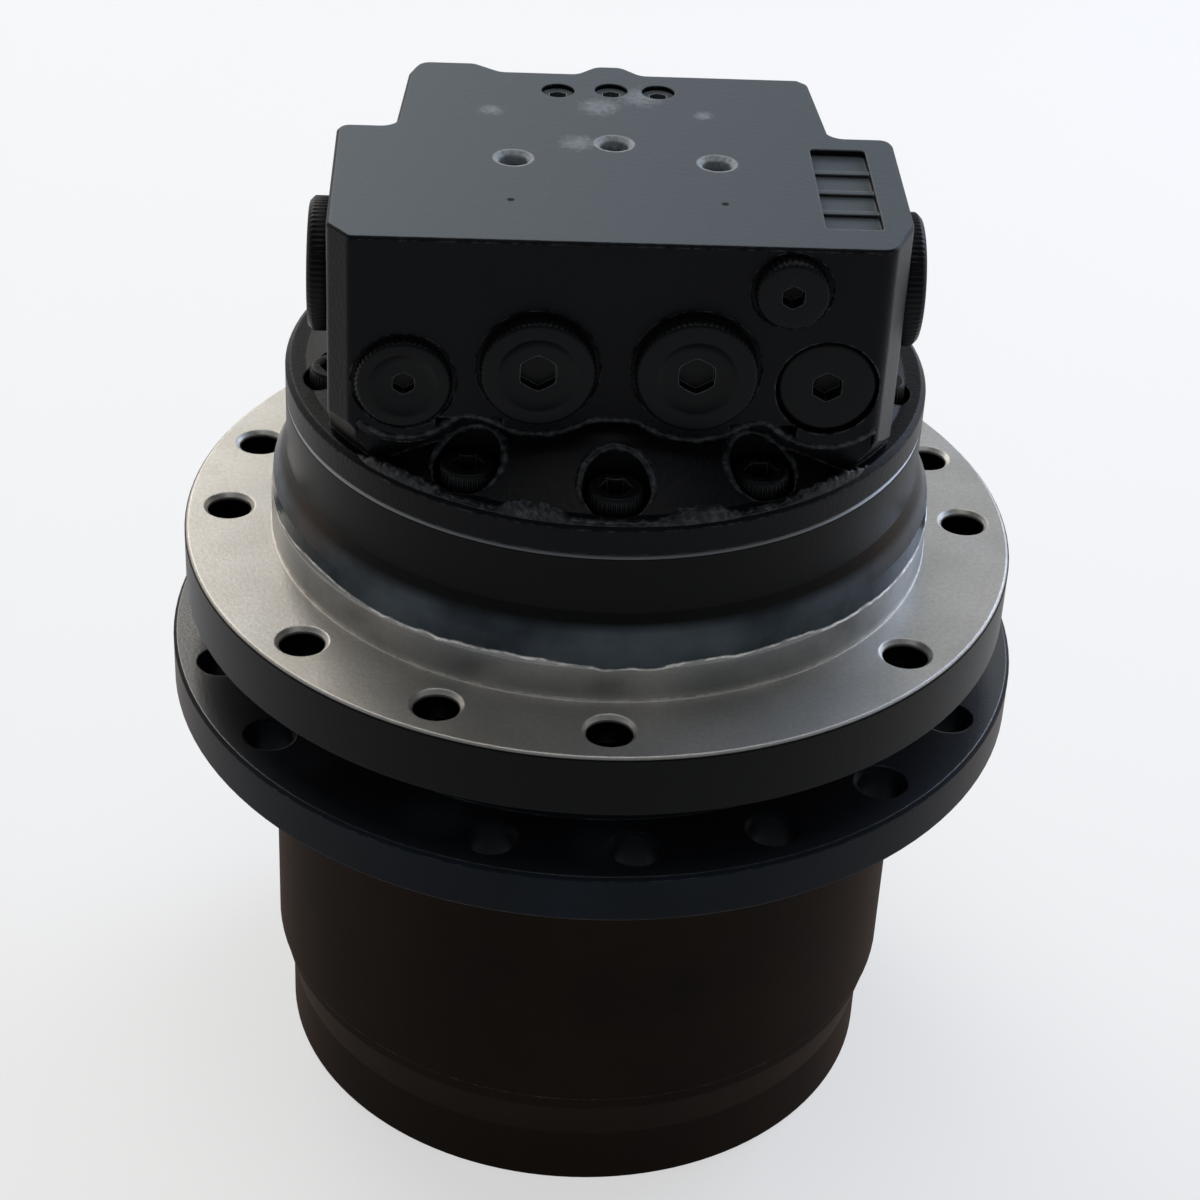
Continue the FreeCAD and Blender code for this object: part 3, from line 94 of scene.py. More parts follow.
def new_material(name):
    """Node material with its Principled BSDF and the Object coordinates turned to millimetres."""
    made = bpy.data.materials.new(name)
    made.use_nodes = True
    tree = made.node_tree
    place = add(tree, "ShaderNodeTexCoord").outputs["Object"]
    mm = add(tree, "ShaderNodeVectorMath", {0: place, 1: (1000, 1000, 1000)}, operation="MULTIPLY")
    return made, tree, tree.nodes["Principled BSDF"], mm.outputs[0]


def mesh_object(name, points, faces, smooth_angle=35.0):
    """Object at the origin from an array of points in mm and a list of faces."""
    mesh = bpy.data.meshes.new(name)
    mesh.from_pydata((points / 1000).tolist(), [], faces)
    mesh.validate()
    mesh.polygons.foreach_set("use_smooth", np.ones(len(mesh.polygons), bool))
    mesh.set_sharp_from_angle(angle=np.radians(smooth_angle))
    made = bpy.data.objects.new(name, mesh)
    bpy.context.scene.collection.objects.link(made)
    return made


floor_level = -196.0
floor_half = 20000.0
corners = np.array([(-1, -1), (1, -1), (1, 1), (-1, 1)]) * floor_half
floor = mesh_object("floor", np.column_stack([corners, np.full(4, floor_level)]), [(0, 1, 2, 3)])
# matt floor paint: even and pale, so the drive's shadow is all it shows
floor_paint, tree, shader, mm = new_material("matt_floor_paint")
cloud_size = 400.0
cloud = add(tree, "ShaderNodeTexNoise", {"Vector": mm, "Scale": 1 / cloud_size, "Detail": 2.0}).outputs["Fac"]
tone = add(tree, "ShaderNodeMix", {
    0: cloud, 6: linear("#f4f5f6"), 7: linear("#fafafa")}, data_type="RGBA").outputs[2]
feed(tree, shader, {"Base Color": tone, "Roughness": 0.9, "Specular IOR Level": 0.1})
# seen straight or in metal, three fifths of it is clean white and the rest takes the shadow
white_part = 0.6
path = add(tree, "ShaderNodeLightPath").outputs
seen = path["Is Camera Ray"]
for ray in ("Is Glossy Ray", "Is Transmission Ray"):
    seen = add(tree, "ShaderNodeMath", {0: seen, 1: path[ray]}, operation="MAXIMUM").outputs[0]
white_share = add(tree, "ShaderNodeMath", {0: seen, 1: white_part}, operation="MULTIPLY").outputs[0]
white = add(tree, "ShaderNodeEmission", {"Color": linear("#ffffff"), "Strength": 1.0}).outputs[0]
blended = add(tree, "ShaderNodeMixShader", {0: white_share, 1: shader.outputs[0], 2: white}).outputs[0]
feed(tree, tree.nodes["Material Output"], {"Surface": blended})
floor.data.materials.append(floor_paint)

world = bpy.data.worlds.new("soft_sky")
bpy.context.scene.world = world
world.use_nodes = True
tree = world.node_tree
direction = add(tree, "ShaderNodeTexCoord").outputs["Generated"]
axes = add(tree, "ShaderNodeSeparateXYZ", {0: direction}).outputs
to_right = add(tree, "ShaderNodeMapRange", {0: axes["X"], 1: -0.1, 2: 0.4}).outputs[0]
behind = add(tree, "ShaderNodeMapRange", {0: axes["Y"], 1: -0.2, 2: 0.8}).outputs[0]
low_down = add(tree, "ShaderNodeMapRange", {0: axes["Z"], 1: 0.36, 2: 0.2}).outputs[0]
warm_back, blue_back = linear("#e6e4e0"), linear("#c2cedc")
grey_front, haze = linear("#6a6d71"), linear("#e9eaeb")
back = add(tree, "ShaderNodeMix", {0: to_right, 6: warm_back, 7: blue_back}, data_type="RGBA").outputs[2]
sky = add(tree, "ShaderNodeMix", {0: behind, 6: grey_front, 7: back}, data_type="RGBA").outputs[2]
sky = add(tree, "ShaderNodeMix", {0: low_down, 6: sky, 7: haze}, data_type="RGBA").outputs[2]
feed(tree, tree.nodes["Background"], {"Color": sky, "Strength": 0.85})

drive_middle = Vector((0, 0, 0))
for name, place, size, power, colour in (
        ("left_soft_box", (-0.85, 1.35, 1.0), 1.2, 10.5, "#fffaf2"),
        ("right_soft_box", (1.3, 1.0, 0.8), 1.0, 14.0, "#cfe0ff"),
        ("top_soft_box", (0.0, 0.1, 1.9), 1.2, 7.0, "#ffffff"),
        ("left_low_box", (-1.4, 0.5, 0.0), 0.6, 1.5, "#ffcfa6"),
        ("right_low_box", (1.4, 0.5, 0.0), 0.6, 1.0, "#ffcfa6")):
    lamp = bpy.data.lights.new(name, "AREA")
    lamp.shape = "DISK"
    lamp.size = size
    lamp.energy = power
    lamp.color = linear(colour)[:3]
    holder = bpy.data.objects.new(name, lamp)
    bpy.context.scene.collection.objects.link(holder)
    holder.location = place
    holder.rotation_euler = (drive_middle - Vector(place)).to_track_quat("-Z", "Y").to_euler()


# Motor casing
# Grey iron casting, turned bare on the frame flange and the pilot step below a ragged paint edge;
# the neck above, the flange's rim and the seal side are brushed over with black paint.
def skin_normal(tree, mm, radius, grain, depth):
    """Surface normal with rounded edges and a noise bump, and the normal of the rounded edges alone.

    The radius of the edges and the bump's grain size and depth are in mm."""
    edge = add(tree, "ShaderNodeBevel", {"Radius": radius / 1000}, samples=6).outputs[0]
    skin = add(tree, "ShaderNodeTexNoise", {
        "Vector": mm, "Scale": 1 / grain, "Detail": 5.0, "Roughness": 0.6}).outputs["Fac"]
    bump = add(tree, "ShaderNodeBump", {
        "Strength": 1.0, "Distance": depth / 1000, "Height": skin, "Normal": edge})
    return bump.outputs[0], edge


def edge_share(tree, edge):
    """1 on an edge and 0 beside it, from the dot product of the rounded normal and the plain one."""
    plain = add(tree, "ShaderNodeNewGeometry").outputs["Normal"]
    agree = add(tree, "ShaderNodeVectorMath", {0: edge, 1: plain}, operation="DOT_PRODUCT").outputs["Value"]
    return add(tree, "ShaderNodeMapRange", {0: agree, 1: 0.985, 2: 0.86, 3: 0.0, 4: 1.0}).outputs[0]


def dress(node, finish):
    """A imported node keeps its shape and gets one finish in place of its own."""
    slots = frame["nodes"][node].data.materials
    slots.clear()
    slots.append(finish)


# machined grey iron: a greasy grey metal whose lathe lines draw the light out across them
flange_iron, tree, shader, mm = new_material("turned_grey_iron_with_brushed_black_paint")
axes = add(tree, "ShaderNodeSeparateXYZ", {0: mm}).outputs
flat = add(tree, "ShaderNodeCombineXYZ", {0: axes["X"], 1: axes["Y"]}).outputs[0]
radius = add(tree, "ShaderNodeVectorMath", {0: flat}, operation="LENGTH").outputs["Value"]
profile = add(tree, "ShaderNodeCombineXYZ", {0: radius, 1: axes["Z"]}).outputs[0]
lathe_pitch = 0.35
lathe = add(tree, "ShaderNodeTexNoise", {
    "Vector": profile, "Scale": 1 / lathe_pitch, "Detail": 3.0}).outputs["Fac"]
stain_size = 28.0
stain = add(tree, "ShaderNodeTexNoise", {"Vector": mm, "Scale": 1 / stain_size, "Detail": 5.0}).outputs["Fac"]
stain_share = add(tree, "ShaderNodeMapRange", {0: stain, 1: 0.35, 2: 0.65}).outputs[0]
iron_tone = add(tree, "ShaderNodeMix", {
    0: stain_share, 6: linear("#c4c1ba"), 7: linear("#d2cfca")}, data_type="RGBA").outputs[2]
blue_size = 40.0
blue = add(tree, "ShaderNodeTexNoise", {"Vector": mm, "Scale": 1 / blue_size, "Detail": 3.0}).outputs["Fac"]
blue_share = add(tree, "ShaderNodeMapRange", {0: blue, 1: 0.5, 2: 0.75, 4: 0.25}).outputs[0]
iron_tone = add(tree, "ShaderNodeMix", {
    0: blue_share, 6: iron_tone, 7: linear("#a9b3b8")}, data_type="RGBA").outputs[2]
# the pilot step is coloured darker than the flange's face as painted shade
pilot_foot, pilot_full = 0.5, 3.0
on_pilot = add(tree, "ShaderNodeMapRange", {0: axes["Z"], 1: pilot_foot, 2: pilot_full, 4: 1.0}).outputs[0]
pilot_shade_tone = add(tree, "ShaderNodeMix", {
    0: stain_share, 6: linear("#8f9294"), 7: linear("#b4b3b0")}, data_type="RGBA").outputs[2]
iron_tone = add(tree, "ShaderNodeMix", {
    0: on_pilot, 6: iron_tone, 7: pilot_shade_tone}, data_type="RGBA").outputs[2]
# the paint is a thin film on the neck, coloured lighter and bluish as a painted reflection of the flange,
# and a full black coat above it and below the face
film_low, coat_low, face_low = 12.8, 23.5, -0.5
full_coat = add(tree, "ShaderNodeMapRange", {0: axes["Z"], 1: coat_low - 1.5, 2: coat_low + 1.5}).outputs[0]
below_face = add(tree, "ShaderNodeMath", {0: axes["Z"], 1: face_low}, operation="LESS_THAN").outputs[0]
full_coat = add(tree, "ShaderNodeMath", {0: full_coat, 1: below_face}, operation="MAXIMUM").outputs[0]
film_reflection_tone = add(tree, "ShaderNodeMix", {
    0: stain_share, 6: linear("#283036"), 7: linear("#4b5359")}, data_type="RGBA").outputs[2]
paint_and_reflection_tone = add(tree, "ShaderNodeMix", {
    0: full_coat, 6: film_reflection_tone, 7: linear("#08090a")}, data_type="RGBA").outputs[2]
# the film's lower edge is torn: it wanders up and down by noise
tear_size, tear_height = 30.0, 7.0
tear = add(tree, "ShaderNodeTexNoise", {
    "Vector": mm, "Scale": 1 / tear_size, "Detail": 6.0, "Roughness": 0.55}).outputs["Fac"]
wander = add(tree, "ShaderNodeMath", {0: tear, 1: 0.5}, operation="SUBTRACT").outputs[0]
torn_level = add(tree, "ShaderNodeMath", {
    0: wander, 1: tear_height, 2: axes["Z"]}, operation="MULTIPLY_ADD").outputs[0]
painted = add(tree, "ShaderNodeMapRange", {0: torn_level, 1: film_low, 2: film_low + 0.5}).outputs[0]
# the torn edge is lighter in places, and the foot of the pilot step carries a painted highlight in places
tear_half, foot_middle, foot_half = 0.35, 0.7, 0.4
at_tear = add(tree, "ShaderNodeMath", {
    0: torn_level, 1: film_low - 0.2, 2: tear_half}, operation="COMPARE").outputs[0]
at_foot = add(tree, "ShaderNodeMath", {
    0: axes["Z"], 1: foot_middle, 2: foot_half}, operation="COMPARE").outputs[0]
bright_lines = add(tree, "ShaderNodeMath", {0: at_tear, 1: at_foot}, operation="MAXIMUM").outputs[0]
bright_patch_size = 5.0
bright_patch = add(tree, "ShaderNodeTexNoise", {
    "Vector": mm, "Scale": 1 / bright_patch_size, "Detail": 4.0}).outputs["Fac"]
bright_patch_share = add(tree, "ShaderNodeMapRange", {0: bright_patch, 1: 0.4, 2: 0.6}).outputs[0]
bright_lines = add(tree, "ShaderNodeMath", {0: bright_lines, 1: bright_patch_share}, operation="MULTIPLY").outputs[0]
iron_tone = add(tree, "ShaderNodeMix", {
    0: bright_lines, 6: iron_tone, 7: linear("#f0efec")}, data_type="RGBA").outputs[2]
# skin grit of about a millimetre and a half dulls the turned face in specks
grit_size = 1.5
grit = add(tree, "ShaderNodeTexNoise", {
    "Vector": mm, "Scale": 1 / grit_size, "Detail": 4.0, "Roughness": 0.8}).outputs["Fac"]
grit_share = add(tree, "ShaderNodeMapRange", {0: grit, 1: 0.35, 2: 0.7, 4: 0.35}).outputs[0]
iron_tone = add(tree, "ShaderNodeMix", {
    0: grit_share, 6: iron_tone, 7: linear("#8d8c88")}, data_type="RGBA").outputs[2]
# the rim is painted, and so are the holes and the seal side from just below the face
for measure, bare_end, paint_start in ((radius, 130.4, 130.7), (axes["Z"], -1.4, -2.2)):
    coated = add(tree, "ShaderNodeMapRange", {0: measure, 1: bare_end, 2: paint_start}).outputs[0]
    painted = add(tree, "ShaderNodeMath", {0: painted, 1: coated}, operation="MAXIMUM").outputs[0]
# the turned chamfer at the joint with the valve block stays bright
joint_low = 45.7
on_joint = add(tree, "ShaderNodeMapRange", {0: axes["Z"], 1: joint_low, 2: joint_low + 0.1}).outputs[0]
off_joint = add(tree, "ShaderNodeMath", {0: 1.0, 1: on_joint}, operation="SUBTRACT").outputs[0]
painted = add(tree, "ShaderNodeMath", {0: painted, 1: off_joint}, operation="MULTIPLY").outputs[0]
iron_tone = add(tree, "ShaderNodeMix", {
    0: on_joint, 6: iron_tone, 7: linear("#a5a7a9")}, data_type="RGBA").outputs[2]
colour = add(tree, "ShaderNodeMix", {0: painted, 6: iron_tone, 7: paint_and_reflection_tone}, data_type="RGBA").outputs[2]
metal = add(tree, "ShaderNodeMath", {0: 1.0, 1: painted}, operation="SUBTRACT").outputs[0]
iron_rough = add(tree, "ShaderNodeMapRange", {0: lathe, 3: 0.36, 4: 0.5}).outputs[0]
coat_rough = add(tree, "ShaderNodeMapRange", {0: full_coat, 3: 0.26, 4: 0.34}).outputs[0]
rough = add(tree, "ShaderNodeMix", {0: painted, 2: iron_rough, 3: coat_rough}).outputs[0]
normal = skin_normal(tree, mm, 0.7, 1.3, 0.06)[0]
lathe_depth = 0.03
turned_normal = add(tree, "ShaderNodeBump", {
    "Strength": 0.25, "Distance": lathe_depth / 1000, "Height": lathe, "Normal": normal}).outputs[0]
around = add(tree, "ShaderNodeTangent", direction_type="RADIAL", axis="Z").outputs[0]
feed(tree, shader, {
    "Base Color": colour, "Metallic": metal, "Roughness": rough, "Normal": turned_normal, "Tangent": around,
    "Anisotropic": 0.5, "Specular IOR Level": 0.075})
dress("spindle", flange_iron)


# Valve block
# Sand casting of grey iron with a face-milled top, brushed over with thin black paint: dull and
# nearly black on the cast walls, a paler grey on the milled top, bare at worn edges, which also carry a
# painted highlight.
block_paint, tree, shader, mm = new_material("thin_black_paint_on_cast_iron")
axes = add(tree, "ShaderNodeSeparateXYZ", {0: mm}).outputs
plain = add(tree, "ShaderNodeNewGeometry").outputs["Normal"]
upward = add(tree, "ShaderNodeSeparateXYZ", {0: plain}).outputs["Z"]
block_top = 130.0
high = add(tree, "ShaderNodeMapRange", {0: axes["Z"], 1: block_top - 3.0, 2: block_top - 2.9}).outputs[0]
level = add(tree, "ShaderNodeMapRange", {0: upward, 1: 0.9, 2: 0.97}).outputs[0]
milled = add(tree, "ShaderNodeMath", {0: high, 1: level}, operation="MULTIPLY").outputs[0]
patch_size = 35.0
patch = add(tree, "ShaderNodeTexNoise", {"Vector": mm, "Scale": 1 / patch_size, "Detail": 4.0}).outputs["Fac"]
cast_tone = add(tree, "ShaderNodeMix", {
    0: patch, 6: linear("#06070a"), 7: linear("#0d0f12")}, data_type="RGBA").outputs[2]
# the top is painted paler at the left than at the right: painted light across it
block_half = 80.0
across = add(tree, "ShaderNodeMapRange", {0: axes["X"], 1: -block_half, 2: block_half}).outputs[0]
top_tone = add(tree, "ShaderNodeMix", {
    0: across, 6: linear("#646a6d"), 7: linear("#565d62")}, data_type="RGBA").outputs[2]
speck_size = 1.6
speck = add(tree, "ShaderNodeTexNoise", {
    "Vector": mm, "Scale": 1 / speck_size, "Detail": 6.0, "Roughness": 0.7}).outputs["Fac"]
speck_share = add(tree, "ShaderNodeMapRange", {0: speck, 1: 0.62, 2: 0.72, 4: 0.7}).outputs[0]
top_tone = add(tree, "ShaderNodeMix", {
    0: speck_share, 6: top_tone, 7: linear("#6f7679")}, data_type="RGBA").outputs[2]
# rubbed pale spots where a hand or a sling has touched the top: place and size
for x, y, size in (
        (-37.4, 17.3, 5.0), (26.4, 17.6, 4.0), (-12.0, -4.5, 7.0), (8.0, 30.0, 9.0), (-5.0, 22.0, 8.0)):
    away = add(tree, "ShaderNodeVectorMath", {
        0: mm, 1: (x, y, block_top)}, operation="DISTANCE").outputs["Value"]
    near = add(tree, "ShaderNodeMapRange", {0: away, 1: size * 1.6, 2: size * 0.2}).outputs[0]
    torn = add(tree, "ShaderNodeMath", {0: near, 1: speck}, operation="MULTIPLY").outputs[0]
    pale_share = add(tree, "ShaderNodeMapRange", {0: torn, 1: 0.25, 2: 0.5, 4: 0.8}).outputs[0]
    top_tone = add(tree, "ShaderNodeMix", {
        0: pale_share, 6: top_tone, 7: linear("#8d9396")}, data_type="RGBA").outputs[2]
# two punch marks
for x, y in ((-31.6, -44.0), (28.9, -43.0)):
    away = add(tree, "ShaderNodeVectorMath", {
        0: mm, 1: (x, y, block_top)}, operation="DISTANCE").outputs["Value"]
    pit = add(tree, "ShaderNodeMapRange", {0: away, 1: 1.3, 2: 0.8}).outputs[0]
    top_tone = add(tree, "ShaderNodeMix", {
        0: pit, 6: top_tone, 7: linear("#0b0c0d")}, data_type="RGBA").outputs[2]
colour = add(tree, "ShaderNodeMix", {0: milled, 6: cast_tone, 7: top_tone}, data_type="RGBA").outputs[2]
# the chamfers and first threads of the three tapped holes are bare, and coloured pale all round as a painted
# glint
chamfer_radius = 6.0
for x, y in ((-30.8, -16.0), (-1.2, -4.2), (28.3, -16.0)):
    away = add(tree, "ShaderNodeVectorMath", {
        0: mm, 1: (x, y, block_top)}, operation="DISTANCE").outputs["Value"]
    ring = add(tree, "ShaderNodeMapRange", {
        0: away, 1: chamfer_radius + 0.3, 2: chamfer_radius - 0.3}).outputs[0]
    torn = add(tree, "ShaderNodeMath", {0: speck, 1: 1.5}, operation="MULTIPLY").outputs[0]
    ring = add(tree, "ShaderNodeMath", {0: ring, 1: torn}, operation="MULTIPLY", use_clamp=True).outputs[0]
    colour = add(tree, "ShaderNodeMix", {
        0: ring, 6: colour, 7: linear("#b3b8bb")}, data_type="RGBA").outputs[2]
normal, edge = skin_normal(tree, mm, 1.0, 1.5, 0.16)
on_edge = edge_share(tree, edge)
# the edges are paler in chips: worn paint, and a painted highlight along them
chip_size, chip_most = 3.0, 0.55
chip = add(tree, "ShaderNodeTexNoise", {
    "Vector": mm, "Scale": 1 / chip_size, "Detail": 6.0, "Roughness": 0.7}).outputs["Fac"]
chip_share = add(tree, "ShaderNodeMapRange", {0: chip, 1: 0.45, 2: 0.62}).outputs[0]
wear_and_highlight = add(tree, "ShaderNodeMath", {0: on_edge, 1: chip_share}, operation="MULTIPLY").outputs[0]
wear_and_highlight = add(tree, "ShaderNodeMath", {0: wear_and_highlight, 1: chip_most}, operation="MULTIPLY").outputs[0]
# the edges of the cast recess in the top are painted brightest, a painted glint: all within its box
recess_middle, recess_reach, recess_glint_most = (64.4, -30.5, block_top), (11.0, 29.0, 4.0), 0.8
offset = add(tree, "ShaderNodeVectorMath", {0: mm, 1: recess_middle}, operation="SUBTRACT").outputs[0]
offset = add(tree, "ShaderNodeVectorMath", {0: offset, 1: recess_reach}, operation="DIVIDE").outputs[0]
offset = add(tree, "ShaderNodeVectorMath", {0: offset}, operation="ABSOLUTE").outputs[0]
beside = add(tree, "ShaderNodeSeparateXYZ", {0: offset}).outputs
most = add(tree, "ShaderNodeMath", {0: beside["X"], 1: beside["Y"]}, operation="MAXIMUM").outputs[0]
most = add(tree, "ShaderNodeMath", {0: most, 1: beside["Z"]}, operation="MAXIMUM").outputs[0]
in_recess = add(tree, "ShaderNodeMath", {0: most, 1: 1.0}, operation="LESS_THAN").outputs[0]
recess_glint = add(tree, "ShaderNodeMath", {0: in_recess, 1: on_edge}, operation="MULTIPLY").outputs[0]
recess_glint = add(tree, "ShaderNodeMath", {0: recess_glint, 1: recess_glint_most}, operation="MULTIPLY").outputs[0]
wear_and_highlight = add(tree, "ShaderNodeMath", {0: wear_and_highlight, 1: recess_glint}, operation="MAXIMUM").outputs[0]
colour = add(tree, "ShaderNodeMix", {0: wear_and_highlight, 6: colour, 7: linear("#74787a")}, data_type="RGBA").outputs[2]
rough = add(tree, "ShaderNodeMix", {0: milled, 2: 0.38, 3: 0.42}).outputs[0]
feed(tree, shader, {"Base Color": colour, "Roughness": rough, "Normal": normal, "Specular IOR Level": 0.08})
dress("valve_block", block_paint)


# Cast edges of the block
# The casting has no sharp foot: its wall rolls over in a wavy edge under the plugs, a raised rim
# rounds each front screw pocket, and a rough lip stands where the mould halves met on the foot.
def round_grid(rows, columns):
    """Quads of a grid of points whose columns close into a ring, row after row."""
    i, j = np.meshgrid(np.arange(rows - 1), np.arange(columns), indexing="ij")
    n = (j + 1) % columns
    quads = np.stack([i * columns + j, (i + 1) * columns + j, (i + 1) * columns + n, i * columns + n], -1)
    return quads.reshape(-1, 4)


def swept(path, wide, high, columns=12):
    """Closed tube along a path: point = path + wide*cos t*side + high*sin t*up.

    Side is the path's direction x vertical, and up is side x direction. Wide and high may change
    along the path, and both ends are capped."""
    path = np.array(path, float)
    along = np.gradient(path, axis=0)
    along /= np.linalg.norm(along, axis=1)[:, None]
    side = np.cross(along, (0.0, 0.0, 1.0))
    side /= np.linalg.norm(side, axis=1)[:, None]
    up = np.cross(side, along)
    t = np.linspace(0, 2 * np.pi, columns, endpoint=False)
    wide, high = (np.broadcast_to(v, len(path))[:, None, None] for v in (wide, high))
    ring = (path[:, None] + wide * np.cos(t)[None, :, None] * side[:, None]
            + high * np.sin(t)[None, :, None] * up[:, None])
    k = np.arange(columns)
    last_row = (len(path) - 1) * columns
    caps = [k.tolist(), (last_row + k[::-1]).tolist()]
    return ring.reshape(-1, 3), round_grid(len(path), columns).tolist() + caps


# painted cast skin, thin and rubbed grey in patches
edge_paint, tree, shader, mm = new_material("rubbed_black_paint_on_cast_edges")
rub_size = 2.5
rub = add(tree, "ShaderNodeTexNoise", {
    "Vector": mm, "Scale": 1 / rub_size, "Detail": 6.0, "Roughness": 0.7}).outputs["Fac"]
rub_share = add(tree, "ShaderNodeMapRange", {0: rub, 1: 0.45, 2: 0.75}).outputs[0]
tone = add(tree, "ShaderNodeMix", {
    0: rub_share, 6: linear("#0d0f12"), 7: linear("#4a4f54")}, data_type="RGBA").outputs[2]
normal = skin_normal(tree, mm, 0.4, 1.5, 0.2)[0]
feed(tree, shader, {"Base Color": tone, "Normal": normal, "Roughness": 0.36, "Specular IOR Level": 0.16})

# the wall's lower edge: a soft lowest of the wall's foot and the arcs round the four plug bosses
wall_low, wall_face, wall_half = 74.2, -70.0, 73.6
over_all = 9.0
x = np.linspace(-wall_half, wall_half, 295)
levels = [np.full_like(x, wall_low)]
for boss_x, boss_z, boss_radius in (
        (-60.6, 85.4, 18.6), (-22.9, 91.0, 22.2), (21.6, 91.3, 23.2), (59.2, 86.4, 19.6)):
    inside = np.clip(boss_radius ** 2 - (x - boss_x) ** 2, 0, None)
    levels.append(np.where(inside > 0, boss_z - np.sqrt(inside), wall_low + over_all))
blend_size = 1.2
wavy = -blend_size * np.log(sum(np.exp(-(level - wall_low) / blend_size) for level in levels)) + wall_low
shelf = swept(np.column_stack([x, np.full_like(x, wall_face + 1.0), wavy + 0.5]), 1.5, 1.3)

# a rim round the inner side of each front pocket on the foot's cone, thickest at its back
cone_low, cone_low_radius, cone_slope = 56.6, 92.0, 16.0 / 26.0
pocket_circle, rim_radius, rim_turn = 84.0, 10.6, 118
rims = []
for angle in np.radians((-30, 0, 30)):
    inward = np.array([-np.sin(angle), np.cos(angle)])
    tangent = np.array([-inward[1], inward[0]])
    turn = np.radians(np.linspace(-rim_turn, rim_turn, 60))
    arc = np.cos(turn)[:, None] * inward + np.sin(turn)[:, None] * tangent
    flat_path = (-pocket_circle * inward)[None] + rim_radius * arc
    level = cone_low + cone_slope * (cone_low_radius - np.hypot(*flat_path.T))
    thick = 0.35 + 1.15 * np.sqrt(np.cos(turn * 90 / rim_turn).clip(0))
    rims.append(swept(np.column_stack([flat_path, np.maximum(level, cone_low)]), thick, thick * 0.9))

# the foot's lip: highest between the pockets, lowest in front of them, sinking away at both ends
lip_radius, lip_level, lip_end = 96.2, 56.2, 52
angle = np.linspace(-lip_end, lip_end, 260)
away = np.abs(angle)
bump = np.exp(-((away - 14) / 5.5) ** 4) * 4.0 + np.exp(-((away - 40) / 8) ** 4) * 2.4
bump += 0.35 * np.sin(angle * 1.9) + 0.25 * np.sin(angle * 4.3 + 1.0)
ending = np.clip((lip_end - away) / 5, 0, 1)
theta = np.radians(angle)
lip_path = np.column_stack([
    lip_radius * np.sin(theta), -lip_radius * np.cos(theta), np.full_like(angle, lip_level)])
lip = swept(lip_path, 0.2 + 1.3 * ending, 0.2 + (0.6 + bump.clip(0)) * ending)
for name, parts in (("block_shelf_edge", [shelf]), ("screw_pocket_rims", rims), ("block_foot_lip", [lip])):
    points, faces = [], []
    for part_points, part_faces in parts:
        shift = sum(len(done) for done in points)
        faces += [[v + shift for v in face] for face in part_faces]
        points.append(part_points)
    cast_edge = mesh_object(name, np.concatenate(points), faces, 60.0)
    cast_edge.data.materials.append(edge_paint)
    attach(cast_edge, "casing")


# Block screws
# Nine M10 socket head cap screws of alloy steel with knurled heads, black oxide under the same
# brushed paint. Each is forged, rolled and pulled down into its pocket round the block's foot.
def ring_grid(rows, columns, teeth, places, out):
    """Closed turned surfaces: point = place + out*height + r*(cos t*side + sin t*up).

    Each row is a flat radius, a height, a hexness h and a knurl depth. With u = (t mod 60) - 30 in
    degrees, r = radius*(1 - h + h/cos u) - depth*(1 - cos(teeth*t))/2."""
    out = np.array(out, float)
    side = np.array([0.0, 0.0, 1.0]) if abs(out[2]) < 0.5 else np.array([1.0, 0.0, 0.0])
    up = np.cross(out, side)
    t = np.linspace(0, 2 * np.pi, columns, endpoint=False)
    corner = 1 / np.cos(np.mod(t, np.pi / 3) - np.pi / 6)
    wave = (1 - np.cos(teeth * t)) / 2
    radii, heights, hexness, knurl = (rows[:, k, None] for k in range(4))
    r = radii * (1 - hexness + hexness * corner) - knurl * wave
    ring = (heights[..., None] * out + (r * np.cos(t))[..., None] * side + (r * np.sin(t))[..., None] * up)
    one = np.vstack([ring.reshape(-1, 3), heights[0, 0] * out, heights[-1, 0] * out])
    quads = round_grid(len(rows), columns)
    k = np.arange(columns)
    m = (k + 1) % columns
    first_middle, last_middle = len(rows) * columns, len(rows) * columns + 1
    last_row = (len(rows) - 1) * columns
    caps = np.vstack([np.stack([np.full(columns, first_middle), k, m], -1),
                      np.stack([last_row + m, last_row + k, np.full(columns, last_middle)], -1)])
    places = np.array(places, float)
    points = (places[:, None, :] + one[None]).reshape(-1, 3)
    faces = []
    for index in range(len(places)):
        shift = index * len(one)
        faces += (quads + shift).tolist() + (caps + shift).tolist()
    return points, faces


# black oxide steel under paint: satin, with the knurl's crests and edges rubbed paler than its roots and
# carrying a painted highlight
screw_steel, tree, shader, mm = new_material("painted_black_oxide_steel")
oxide_size, rub_and_highlight_most = 9.0, 0.75
patch = add(tree, "ShaderNodeTexNoise", {"Vector": mm, "Scale": 1 / oxide_size, "Detail": 5.0}).outputs["Fac"]
tone = add(tree, "ShaderNodeMix", {
    0: patch, 6: linear("#08090b"), 7: linear("#0f1113")}, data_type="RGBA").outputs[2]
normal, edge = skin_normal(tree, mm, 0.25, 0.7, 0.03)
on_edge = edge_share(tree, edge)
pale_share = add(tree, "ShaderNodeMath", {0: on_edge, 1: rub_and_highlight_most}, operation="MULTIPLY").outputs[0]
tone = add(tree, "ShaderNodeMix", {0: pale_share, 6: tone, 7: linear("#9fa3a6")}, data_type="RGBA").outputs[2]
rough = add(tree, "ShaderNodeMapRange", {0: patch, 3: 0.3, 4: 0.45}).outputs[0]
feed(tree, shader, {"Base Color": tone, "Roughness": rough, "Normal": normal, "Specular IOR Level": 0.1})

